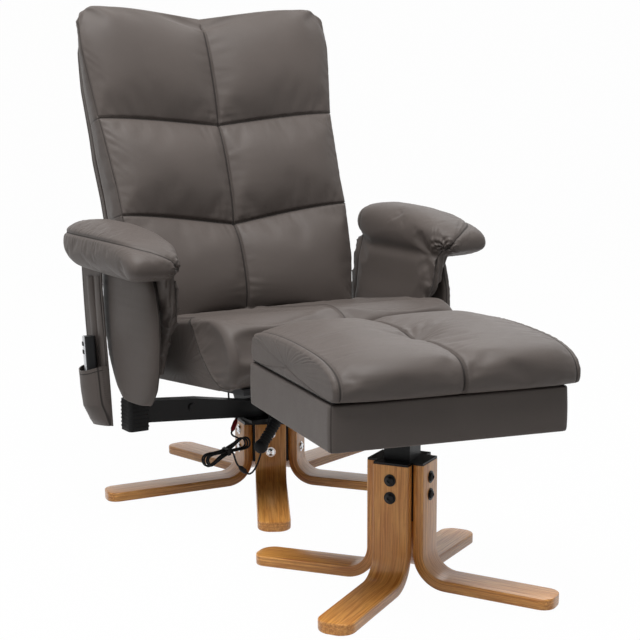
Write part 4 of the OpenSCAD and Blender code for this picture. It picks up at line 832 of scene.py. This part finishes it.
class RECLINER_OT_back(bpy.types.Operator):
    """Quilts the back cushion in six panels and closes the back with its rear cover"""
    bl_idname = "recliner.back"
    bl_label = "Backrest"

    def execute(self, context):
        self.cushion(context.scene.recliner_leather)
        self.rear_cover()
        return {"FINISHED"}

    def ring(self, row, t, sink):
        """Points, seam distances and seam runs round the back at a share of a row's height."""
        def height(across):
            return back_line(row, across) * (1 - t) + back_line(row + 1, across) * t

        share = (height(0.7) - BACK_LOW) / BACK_LEN
        half = back_half(share) - 0.3 * sink
        wrap = 42 * read(BACK_WRAPS, share)
        s = spaced(34)
        s = np.concatenate([-s[:0:-1], s])
        a = np.abs(s)
        crown = puffed(t) * (BACK_LIFTS[row] * (1 - a ** 2) + 18 * puffed(a))
        w = BACK_SEAM_W + wrap * a ** 2.2 - 10 * a ** 8 + crown - sink
        u = height(s)
        front = np.stack([half * s, w, u + 0.8 * sink], -1)
        border = half * (a - 1) + 0.6 * sink
        rows = (u - back_line(1, s)) * (u - back_line(2, s)) / (back_line(2, s) - back_line(1, s))
        gaps = np.stack([half * s, rows, border], -1)
        runs = np.stack([u, half * s, u + half * s], -1)
        edge_w, draw, deep = BACK_SEAM_W + wrap - 10 - sink, back_draw(share), np.arange(1, 11) / 10
        bulge = 5 * np.sin(math.pi * deep)
        side = np.stack([half - draw * deep + bulge, edge_w + (BACK_REAR_W - edge_w) * deep,
                         np.full(10, height(1.0) + 0.8 * sink)], -1)
        far = deep * (edge_w - BACK_REAR_W)
        sign = 1.0 if rows[-1] >= 0 else -1.0
        side_gaps = np.stack([np.full(10, half), rows[-1] + sign * 8 * far, far], -1)
        side_runs = np.stack([np.full(10, u[-1]), side[:, 1], np.full(10, u[-1] + half)], -1)
        across = np.linspace(1, -1, 13)[1:-1]
        rear = np.stack([(half - draw) * across, np.full(11, BACK_REAR_W), height(across) + 0.8 * sink], -1)
        rear_gaps, rear_runs = np.full((11, 3), FAR), np.zeros((11, 3))
        flip = np.array([-1, 1, 1])
        return (np.vstack([front, side, rear, side[::-1] * flip]),
                np.vstack([gaps, side_gaps, rear_gaps, side_gaps[::-1] * flip]),
                np.vstack([runs, side_runs, rear_runs, side_runs[::-1]]))

    def cushion(self, cover):
        steps = spaced(26)
        stack = [self.ring(row, t, 0) for row in range(3) for t in steps[:-1]]
        stack += [self.ring(2, 1, sink) for sink in (0, 1.5, 3.5, 6.5, 11)]
        rings, gaps, runs = (np.array([level[k] for level in stack]) for k in range(3))
        verts, faces = skin(rings[:, ::-1])
        piece = make("back_quilt", on_back(verts), faces)
        gaps, runs = (np.vstack([table[:, ::-1].reshape(-1, 3), table[0, 0], table[-1, 0]])
                      for table in (gaps, runs))
        mark_seams(piece, gaps.T, runs.T)
        held = np.clip(1.5 - np.abs(gaps).min(1) / 9, 0, 1)
        depth = np.append(rings[:, ::-1, 1].ravel(), [0, 0])
        stuff(piece, np.maximum(held, depth < 22), cover.pressure, 0.014, 16)
        relax(piece, 2, 0.3, held)
        finer(piece)
        crease(piece, (5, 3, 3), 3.2, cover.pucker, 24, 34, 3)
        dress(piece, "backrest", "upholstery", "leather", "back_cushion")

    def rear_cover(self):
        """The padded cover behind the board, drawn in at its edge."""
        def outline(inset):
            share = np.linspace(0, 0.94, 40)
            draw = back_draw(share)
            right = np.stack([back_half(share) - draw - inset, BACK_LOW + BACK_LEN * share], -1)
            right[0, 1] += inset
            s = np.linspace(1, -1, 61)
            top = np.stack([(back_half(1) - back_draw(1) - inset) * s, back_line(3, s) - 4 - inset], -1)
            low = np.stack([np.linspace(-1, 1, 41)[1:-1] * (back_half(0) - back_draw(0) - inset),
                            np.full(39, BACK_LOW + inset)], -1)
            return flowing(np.vstack([right, top, right[::-1] * [-1, 1], low]), 300, closed=True)

        rings = []
        for w, inset in ((-25.3, 0.8), (-28, 0.2), (-33, 0), (-36.5, 0.4), (-38, 1.2), (-39.5, 0.4), (-43, 0.6),
                         (-47, 3), (-50.5, 8), (-53, 16), (-55.2, 32), (-56, 60), (-56, 110)):
            line = outline(inset)
            rings.append(np.stack([line[:, 0], np.full(len(line), w), line[:, 1]], -1))
        rings = np.array(rings)[::-1]
        verts, faces = skin(rings)
        piece = make("back_rear_cover", on_back(verts), faces, 60)
        verts = np.array(verts)
        mark_seams(piece, [verts[:, 1] + 38], [verts[:, 0] + verts[:, 2]])
        dress(piece, "backrest", "upholstery", "leather", "back_cover")


def bolster(cut, panel_steps, under):
    """A cushion with side gussets, skinned over its cut's outlines, with its seams' gaps and runs."""
    shares = spaced(panel_steps)
    places = [(cut.half * s, 1.0, 0.0) for s in np.concatenate([-shares[:0:-1], shares])]
    rim = [(cut.half + cut.gusset * e, 1 - 0.16 * (1 - math.sqrt(1 - e * e)), cut.gusset * e)
           for e in (0.12, 0.3, 0.5, 0.7, 0.86, 0.96, 1.0)]
    edge = cut.half + cut.gusset
    rim += [(edge + 3 * math.sin(math.pi * (0.9 - size)), size, cut.gusset + 60 * (0.84 - size))
            for size in np.linspace(0.8, 0.08, 15)]
    rings, gaps, runs = [], [], []
    for x, size, deep in [(-x, size, deep) for x, size, deep in rim[::-1]] + places + rim:
        line = cut.outline(cut.middle + x, size)
        count = len(line)
        rings.append(np.column_stack([np.full(count, cut.middle + x), line]))
        hidden = np.where(line[:, 1] < under, FAR, 0)
        side = deep or abs(x) - cut.half
        middle, side = (gap + np.copysign(hidden, gap) for gap in (x, side))
        gaps.append(np.stack([middle, side, np.full(count, FAR)], -1))
        runs.append(np.repeat(4.2 * np.arange(count)[:, None], 3, 1))
    verts, faces = skin(rings)
    gaps, runs = (np.vstack([*table, table[0][:1], table[-1][:1]]) for table in (gaps, runs))
    return verts, faces, gaps, runs


class RECLINER_OT_seat(bpy.types.Operator):
    """Stuffs the seat cushion, with its waterfall front, side gussets and middle seam"""
    bl_idname = "recliner.seat"
    bl_label = "Seat cushion"

    middle, half, gusset, crown = 0.0, 262.0, 20.0, 9.0
    slant = np.array([(-345, -2), (-310, 4), (-280, 18), (-252, 42), (-223, 74), (-204, 103), (-187, 124),
                      (-152, 139), (-96, 160), (80, 200)])
    profile = ((-285, 0), (-180, 0), (-60, 0), (40, 0), (63, 10), (70, 35), (70, 75), (66, 108), (46, 127),
               (-20, 131), (-110, 137), (-200, 145), (-250, 149), (-289, 143), (-319, 124), (-338, 95),
               (-345, 60), (-338, 30), (-315, 8))

    def execute(self, context):
        cover = context.scene.recliner_leather
        verts, faces, gaps, runs = bolster(self, 34, 3)
        piece = make("seat_quilt", on_seat(verts), faces)
        gaps[:, 1] = np.where(np.abs(gaps[:, 1]) < 0.5 * FAR, self.gusset_gap(verts, gaps[:, 1]), gaps[:, 1])
        mark_seams(piece, gaps.T, runs.T)
        held = np.clip(1.5 - np.abs(gaps).min(1) / 9, 0, 1)
        held = np.maximum(held, np.clip((6 - verts[:, 2]) / 6, 0, 1))
        held = np.maximum(held, np.clip((verts[:, 1] - 45) / 15, 0, 1))
        held = np.maximum(held, (gaps[:, 1] > 0) & (gaps[:, 1] < 0.5 * FAR))
        stuff(piece, held, cover.pressure, 0.012, 10)
        relax(piece, 2, 0.3, held)
        finer(piece)
        crease(piece, (5, 3), 3.4, cover.pucker, 22, 32, 11)
        dress(piece, "seat_carriage", "upholstery", "leather", "seat_cushion")
        return {"FINISHED"}

    def gusset_gap(self, verts, past):
        """Signed distance from the seam round the side gusset, whose front edge slants down to the nose."""
        y, z = verts[:, 1], verts[:, 2]
        slant = flowing(self.slant, 240)
        away = np.hypot(y[:, None] - slant[None, :, 0], z[:, None] - slant[None, :, 1]).min(1)
        ahead = z > read(slant, y)
        return np.minimum(past, np.where(ahead, -away, away))

    def outline(self, x, size):
        """Side outline of the cushion at a place across it."""
        line = flowing(self.profile, 150, closed=True)
        middle = np.array([-137.0, 63.0]) if size > 0.8 else np.array([-137.0, 40.0])
        high = line[:, 1] > 1
        top = (np.maximum(0, line[:, 1]) / 150) ** 2
        sag = self.crown * (0.75 - puffed(min(1.0, abs(x) / self.half))) * top
        y = middle[0] + (line[:, 0] - middle[0]) * (0.4 + 0.6 * size if size > 0.8 else size)
        z = middle[1] + (line[:, 1] - middle[1]) * size
        if size > 0.8:
            y, z = np.where(high, y, line[:, 0]), np.where(high, z, 0)
        return np.stack([y, np.maximum(z - sag, 0)], -1)


class RECLINER_OT_lid(bpy.types.Operator):
    """Stuffs the ottoman's lid, with its middle seam, its side gussets and its tuft"""
    bl_idname = "recliner.lid"
    bl_label = "Ottoman lid cushion"

    middle, half, gusset, low = 9.0, 217.0, 11.0, 396.2
    full = ((195, 0), (100, 0), (0, 0), (-100, 0), (-200, 0), (-226, 2), (-234, 10), (-238, 26), (-236, 44),
            (-226, 58), (-204, 67), (-155, 71), (-70, 73), (20, 74), (100, 73), (160, 68), (194, 59), (208, 45),
            (211.5, 28), (209, 10), (204, 1))
    seamed = ((190, 0), (100, 0), (0, 0), (-100, 0), (-190, 0), (-212, 1), (-219, 6), (-221, 16), (-217, 30),
              (-204, 43), (-176, 54), (-130, 62), (-60, 66), (20, 67), (100, 64), (160, 58), (188, 50), (200, 38),
              (204, 22), (203, 8), (198, 1))
    folds = ((12, 105, 2.2), (27, 130, 2.8), (46, 95, 2.2), (68, 75, 2.6), (92, 50, 1.8), (-18, 70, 2.0),
             (-45, 45, 1.6), (128, 60, 1.8), (158, 75, 2.0), (196, 55, 1.6), (238, 45, 1.8), (285, 40, 1.4))

    def execute(self, context):
        cover = context.scene.recliner_leather
        verts, faces, gaps, runs = bolster(self, 30, self.low + 1)
        piece = make("lid_quilt", on_ottoman(verts), faces)
        mark_seams(piece, gaps.T, runs.T)
        held = np.clip(1.5 - np.abs(gaps).min(1) / 8, 0, 1)
        held = np.maximum(held, np.clip((self.low + 8 - verts[:, 2]) / 6, 0, 1))
        held = np.maximum(held, np.abs(verts[:, 0] - self.middle) > self.half)
        stuff(piece, held, cover.pressure, 0.012, 10)
        relax(piece, 2, 0.3, held)
        finer(piece)
        crease(piece, (5, 1.5), 3.2, 1.2 * cover.pucker, 20, 36, 23)
        self.tuft(piece)
        dress(piece, "ottoman_lid", "upholstery", "leather", "lid_cushion")
        return {"FINISHED"}

    def outline(self, x, size):
        """Side outline of the lid at a place across it, fuller between its seams."""
        share = min(1.0, abs(x - self.middle) / self.half)
        fullness = (1 - share ** 5) * (1 - 0.3 * (1 - puffed(min(share, 0.5))))
        points = np.array(self.seamed) + (np.array(self.full) - np.array(self.seamed)) * fullness
        line = flowing(points, 150, closed=True)
        if x > self.middle:
            line = line * [1, 1 + 0.1 * share ** 2]
        if size > 0.8:
            line = np.array([0, 20]) + (line - np.array([0, 20])) * [0.7 + 0.3 * size, size]
            line[:, 1] = np.maximum(line[:, 1], 0)
        else:
            line = np.array([0, 22]) + (line - np.array([0, 22])) * size
        return line + [0, self.low]

    def tuft(self, piece):
        """Draws the middle of the lid down, with folds fanning out from it."""
        co = coords(piece)
        local = turned(co / MM - [-143, -720, 0], "Z", 11.07) - [self.middle, -34, 0]
        r = np.hypot(local[:, 0], local[:, 1])
        dip = -15 * np.exp(-(r / 36) ** 1.25)
        for way, length, depth in self.folds:
            c, s = math.cos(math.radians(way)), math.sin(math.radians(way))
            along, off = c * local[:, 0] + s * local[:, 1], c * local[:, 1] - s * local[:, 0]
            off = off - 0.12 * along * np.sin(along / length * 2)
            ridge = np.exp(-(off / (4 + 0.06 * along)) ** 2) - 0.6 * np.exp(-((off - 9) / 7) ** 2)
            fading = np.exp(-((along - 22) / (0.6 * length)) ** 2) * np.clip(along / 12, 0, 1)
            dip -= 1.35 * depth * ridge * fading
        top = np.clip((co[:, 2] / MM - self.low - 40) / 14, 0, 1)
        co[:, 2] += MM * dip * top
        set_coords(piece, co)


# Arms

class RECLINER_OT_arms(bpy.types.Operator):
    """Pads the arms: the roll with its drape down the inner side, and the shield outside"""
    bl_idname = "recliner.arms"
    bl_label = "Arms"

    roll_shares = np.array([
        (0, 0.5, 0.38), (0.012, 0.68, 0.37), (0.035, 0.82, 0.34), (0.08, 0.93, 0.29), (0.16, 1, 0.2),
        (0.3, 1, 0.08), (0.45, 1, 0.03), (0.6, 1, 0.01), (0.8, 1, 0), (0.88, 0.95, 0), (0.94, 0.84, 0),
        (0.975, 0.66, 0), (1, 0.36, 0)])
    roll_lifts = np.array([(0, 12), (0.1, 10), (0.8, 12), (0.9, 22), (0.96, 36), (1, 44)])
    band_seam = np.array([(312, 360), (317, 430), (322, 492), (329, 527), (338, 545), (350, 557), (366, 566),
                          (384, 574), (404, 580), (424, 586), (450, 589)])
    shield_shares = np.array([(0, 0.56, 0.34), (0.06, 0.7, 0.5), (0.14, 0.84, 0.64), (0.3, 0.95, 0.82),
                              (0.5, 1, 0.94), (0.72, 0.98, 1), (0.9, 0.86, 1), (1, 0.74, 1)])
    drape = np.array([(0, -80, 300, 314), (0.2, -100, 300, 315), (0.37, -130, 302, 318), (0.5, -158, 305, 326),
                      (0.64, -182, 310, 336), (0.86, -190, 315, 348), (1, -184, 328, 352)])
    knot_place = (326, -208, 536)

    def execute(self, context):
        cover = context.scene.recliner_leather
        plain = self.roll(cover)
        for side, name in ((1, "left"), (-1, "right")):
            piece = self.copy_of(plain, f"arm_{name}", side)
            self.stitch(piece, side, cover)
            dress(piece, "seat_carriage", "upholstery", "leather", f"arm_pad_{name}", f"arm_inner_{name}")
            self.shield(side, name)
        bpy.data.objects.remove(plain)
        return {"FINISHED"}

    def copy_of(self, plain, name, side):
        piece = add(name, plain.data.copy())
        piece.data.name = name
        if side < 0:
            set_coords(piece, coords(piece) * [-1, 1, 1])
            piece.data.flip_normals()
        return piece

    def roll(self, cover):
        """The stuffed roll and the panel below it, as one skin on the +X side."""
        rings = []
        a = np.linspace(0, 2 * math.pi, 72, endpoint=False)
        x, z = (np.sign(f(a)) * np.abs(f(a)) ** 0.62 for f in (np.sin, np.cos))
        for share in np.concatenate([[0, 0.006, 0.014, 0.026, 0.045, 0.07], np.linspace(0.1, 0.9, 40),
                                     [0.93, 0.955, 0.975, 0.988, 1]]):
            size, drop = (read(self.roll_shares, share, k) for k in (1, 2))
            lift = read(self.roll_lifts, share) * (z < 0) * np.abs(z)
            nose = 9 * max(0.0, 1 - share / 0.14)
            rings.append(np.stack([375 + nose + 63 * (0.3 + 0.7 * size) * x,
                                   np.full_like(a, -228 + 378 * share),
                                   503 + lift + 55 * (1 - drop) * (1 + size * z)], -1))
        panel = []
        for level in np.linspace(0, 1, 60):
            front, inside, outside = (read(self.drape, level, k) for k in (1, 2, 3))
            half, rear = 0.5 * (outside - inside), 140.0
            line = rounded(half, 0.5 * (rear - front), half, 6) + [inside + half, 0.5 * (rear + front)]
            line = np.column_stack([line, np.full(len(line), 292 + 241 * level)])
            panel.append(flowing(line, 120, closed=True))
        piece = make("arm_plain", *join_skins([skin(np.array(rings)[:, ::-1]), skin(panel)]))
        even = piece.modifiers.new("Even squares", "REMESH")
        even.mode, even.voxel_size = "VOXEL", 4.5 * MM
        settle(piece)
        relax(piece, 10, 0.5)
        at = coords(piece) / MM
        held = np.clip(1.3 - np.abs(self.band_gap(at)) / 8, 0, 1)
        held = np.maximum(held, np.clip((300 - at[:, 2]) / 8, 0, 1))
        held = np.maximum(held, np.clip((at[:, 1] - 120) / 30, 0, 1) * (at[:, 2] < 500))
        stuff(piece, held, 0.6 * cover.pressure, 0.006, 6)
        finer(piece)
        return piece

    def band_gap(self, at):
        """Signed distance from the seam between the roll's top panel and its band."""
        x = np.clip(np.abs(at[:, 0]), self.band_seam[0, 0], self.band_seam[-1, 0])
        height = read(self.band_seam, x)
        slope = np.interp(x, 0.5 * (self.band_seam[1:, 0] + self.band_seam[:-1, 0]),
                          np.diff(self.band_seam[:, 1]) / np.diff(self.band_seam[:, 0]))
        gap = (at[:, 2] - height) / np.sqrt(1 + slope ** 2)
        inner_side = (at[:, 1] > -170) & (np.abs(at[:, 0]) < 345)
        return np.where(inner_side, FAR, gap)

    def stitch(self, piece, side, cover):
        """Sews the band, gathers the inner front corner and pleats the drape below it."""
        at = coords(piece) / MM
        band = self.band_gap(at)
        rear = np.where(band > 0, at[:, 1] - 118 + 0.0016 * (at[:, 0] * side - 375) ** 2, FAR)
        mark_seams(piece, [band, rear], [at[:, 1] - np.abs(at[:, 0]), at[:, 0]])
        crease(piece, (3.4, 1.6), 4.0, cover.pucker, 15, 20, 31 + side)
        co, out = coords(piece), field(piece.data.vertex_normals)
        at = co / MM * [side, 1, 1]
        away = at - self.knot_place
        r = np.linalg.norm(away, axis=1)
        angle = np.arctan2(away[:, 2], away[:, 1] + 0.6 * away[:, 0])
        gather = (3.2 * np.sin(8 * angle + 0.26 * r) + 1.9 * np.sin(13 * angle - 0.2 * r + 1.3) - 3.0) \
            * np.exp(-(r / 26) ** 2)
        front = np.clip((-150 - at[:, 1]) / 12, 0, 1) * np.clip((525 - at[:, 2]) / 20, 0, 1)
        pleats = 1.5 * np.sin(0.62 * at[:, 0] + 0.9 * np.sin(at[:, 2] / 45)) * front
        set_coords(piece, co + out * ((gather + pleats) * MM)[:, None])

    def shield(self, side, name):
        rings = []
        for level in spaced(70, 0.5):
            z = 246.3 + 266 * level
            front, rear = (-72 + width * read(self.shield_shares, level, k)
                           for width, k in ((-108, 1), (138, 2)))
            ends = 0.72 + 0.28 * math.sin(math.pi * min(max(level, 0.04), 0.96)) ** 0.4
            mid, half = 0.5 * (front + rear), 0.5 * (rear - front)
            a = np.radians(np.linspace(-90, 90, 61))
            outside = np.stack([360.2 + 23 * ends * np.cos(a) ** 0.62, mid + half * np.sin(a),
                                np.full_like(a, z)], -1)
            inside = np.array([(355.2, rear - 2, z), (352.0, rear - 7, z), (351.8, rear - 20, z),
                               (351.8, mid, z), (351.8, front + 20, z), (352.0, front + 7, z),
                               (355.2, front + 2, z)])
            rings.append(flowing(np.vstack([outside, inside]), 150, closed=True))
        verts, faces = skin(rings)
        if side < 0:
            verts, faces = verts * [-1, 1, 1], [face[::-1] for face in faces]
        piece = make(f"arm_shield_{name}", verts, faces)
        relax(piece, 3, 0.5)
        at = coords(piece) / MM
        mark_seams(piece, [np.abs(at[:, 0]) - 357.5], [at[:, 2]])
        crease(piece, (1.8,), 3.0, 0.7, 24, 40, 41 + side)
        dress(piece, "seat_carriage", "upholstery", "leather", f"arm_outer_{name}")


class RECLINER_OT_pocket(bpy.types.Operator):
    """Hangs the side pocket with its pouch"""
    bl_idname = "recliner.pocket"
    bl_label = "Side pocket"

    drop, wide, mouth = 318.0, 98.0, 128.0

    def execute(self, context):
        verts, faces = join_skins([self.strap(), self.fold(4, 34, 4.4), self.fold(40, 70, 5.6), self.pouch()])
        piece = make("side_pocket_cover", on_pocket(verts), faces, 50)
        edge = np.minimum(verts[:, 1], self.wide - verts[:, 1]) - 6
        lip = self.mouth - self.drop - 9 * (1 - np.abs(2 * verts[:, 1] / self.wide - 1) ** 2.2)
        hem = np.where(verts[:, 0] < -9, verts[:, 2] - lip + 8, FAR)
        mark_seams(piece, [edge, hem], [verts[:, 2], verts[:, 1]])
        dress(piece, "seat_carriage", "upholstery", "leather", "side_pocket")
        return {"FINISHED"}

    def sheet(self, x, y, z, thick):
        """A sheet of leather through a table of points, with its thickness inward."""
        grid = np.stack([x, y, z], -1)
        table = np.arange(x.size).reshape(x.shape)
        inner = table + x.size
        rim = np.concatenate([table[0], table[1:, -1], table[-1, -2::-1], table[-2:0:-1, 0]]).tolist()
        faces = quads(table.T) + quads(inner)
        faces += [(p, p + x.size, q + x.size, q) for p, q in zip(rim, rim[1:] + rim[:1])]
        return np.vstack([grid.reshape(-1, 3), (grid + [thick, 0, 0]).reshape(-1, 3)]), faces

    def strap(self):
        z, y = np.meshgrid(np.linspace(28, -self.drop, 96), np.linspace(0, self.wide, 34), indexing="ij")
        wave = 1.2 * np.sin(z / 46) + np.sin(y / 17 + z / 70)
        return self.sheet(-3.2 + 0.35 * wave, y, z, 2.6)

    def fold(self, start, end, lift):
        """A loose fold of leather down the strap."""
        z, share = np.meshgrid(np.linspace(-2, self.mouth - 30 - self.drop, 60), np.linspace(0, 1, 14),
                               indexing="ij")
        x = -3.2 - lift * np.maximum(0, np.sin(math.pi * share)) ** 0.6 - 0.5 * np.sin(z / 30 + start)
        y = start + (end - start) * share + 1.4 * np.sin(z / 55 + start)
        return self.sheet(x, y, z, 1.6)

    def pouch(self):
        share, t = np.meshgrid(np.linspace(0, 1, 60), np.linspace(0, 1, 64), indexing="ij")
        z = -self.drop + share * (self.mouth - 9 * (1 - np.abs(2 * t - 1) ** 2.2))
        grow = np.interp(share, [0, 0.1, 0.36, 1], [0.26, 0.52, 0.93, 1.0])
        body = np.maximum(0, np.sin(math.pi * t)) ** 0.42
        x = -3.2 - 40.5 * grow * body * (0.94 + 0.06 * share) - 0.5 * np.sin(z / 11 + 6 * t) * body
        inset = 5 * np.sin(math.pi * (1 - share) * 0.5) ** 6
        return self.sheet(x, inset + (self.wide - 2 * inset) * t, z, 2.4)


class RECLINER_OT_storage_box(bpy.types.Operator):
    """Clads the ottoman's storage box in leather outside and cloth inside"""
    bl_idname = "recliner.storage_box"
    bl_label = "Storage box"

    def outline(self, inset):
        """The box seen from above, drawn in by an inset, in even steps."""
        line = rounded(220 - inset, 205.5 - inset, max(2.0, 9 - inset), 7)
        line = np.vstack([line, line[:1]])
        run = run_along(line)
        want = np.linspace(0, run[-1], 265)[:-1]
        return np.stack([np.interp(want, run, line[:, k]) for k in (0, 1)], -1)

    def execute(self, context):
        levels = [(20, 312.0), (6, 312.0), (2.6, 312.4), (0.8, 313.8), (0.2, 316.0)]
        levels += [(-0.9 * math.sin(math.pi * t), 316 + 70 * t) for t in np.linspace(0.04, 0.96, 24)]
        levels += [(0.2, 388.0), (1.0, 390.4), (3.2, 391.8), (7, 392.0), (11, 391.7), (13.4, 390.2),
                   (14, 387.6)]
        outside = len(levels)
        levels += [(14, z) for z in np.linspace(380, 321.5, 10)]
        rings = []
        for inset, z in levels:
            line = self.outline(inset)
            sway = 0.5 * np.sin(line[:, 0] / 37 + z / 21) + 0.4 * np.sin(line[:, 1] / 29 - z / 33)
            out = line / np.linalg.norm(line, axis=1)[:, None]
            line = line + out * (sway * (0.6 if inset < 1 else 0))[:, None]
            rings.append(np.column_stack([line, np.full(len(line), z)]))
        verts = np.vstack(rings)
        table = np.pad(np.arange(len(verts)).reshape(len(rings), -1), ((0, 1), (0, 1)), mode="wrap")
        faces = [face[::-1] for face in quads(table)]
        piece = make("storage_box_cover", on_ottoman(verts), faces, 70)
        corner = (220 - np.abs(verts[:, 0])) - (205.5 - np.abs(verts[:, 1]))
        mark_seams(piece, [corner], [verts[:, 2]])
        dress(piece, "ottoman", "upholstery", "leather", "ottoman_box")
        piece.data.materials.append(look("lining"))
        for face in piece.data.polygons:
            if face.index // len(rings[0]) >= outside - 1:
                face.material_index = 1
        return {"FINISHED"}


class RECLINER_PT_panel(bpy.types.Panel):
    """Lists the parts of the recliner and their settings"""
    bl_label = "Recliner"
    bl_idname = "RECLINER_PT_panel"
    bl_space_type = "VIEW_3D"
    bl_region_type = "UI"
    bl_category = "Recliner"

    def draw(self, context):
        for title, key in (("Leather", "recliner_leather"), ("Timber", "recliner_timber"),
                           ("Fittings", "recliner_fittings"), ("Studio", "recliner_studio")):
            box = self.layout.box()
            box.label(text=title)
            group = getattr(context.scene, key)
            for setting in group.__annotations__:
                box.prop(group, setting)
        for maker in MAKERS:
            self.layout.operator(maker.bl_idname)


SETTINGS = {"recliner_leather": LeatherSettings, "recliner_timber": TimberSettings,
            "recliner_fittings": FittingSettings, "recliner_studio": StudioSettings}
MAKERS = (RECLINER_OT_studio, RECLINER_OT_lead, RECLINER_OT_bentwood, RECLINER_OT_fittings, RECLINER_OT_seat,
          RECLINER_OT_back, RECLINER_OT_arms, RECLINER_OT_pocket, RECLINER_OT_storage_box, RECLINER_OT_lid)


def register():
    for kind in (*SETTINGS.values(), *MAKERS, RECLINER_PT_panel):
        bpy.utils.register_class(kind)
    for key, kind in SETTINGS.items():
        setattr(bpy.types.Scene, key, PointerProperty(type=kind))


def unregister():
    for key in SETTINGS:
        delattr(bpy.types.Scene, key)
    for kind in reversed((*SETTINGS.values(), *MAKERS, RECLINER_PT_panel)):
        bpy.utils.unregister_class(kind)


def main():
    register()
    for maker in MAKERS:
        family, name = maker.bl_idname.split(".")
        getattr(getattr(bpy.ops, family), name)()


if __name__ == "__main__":
    main()
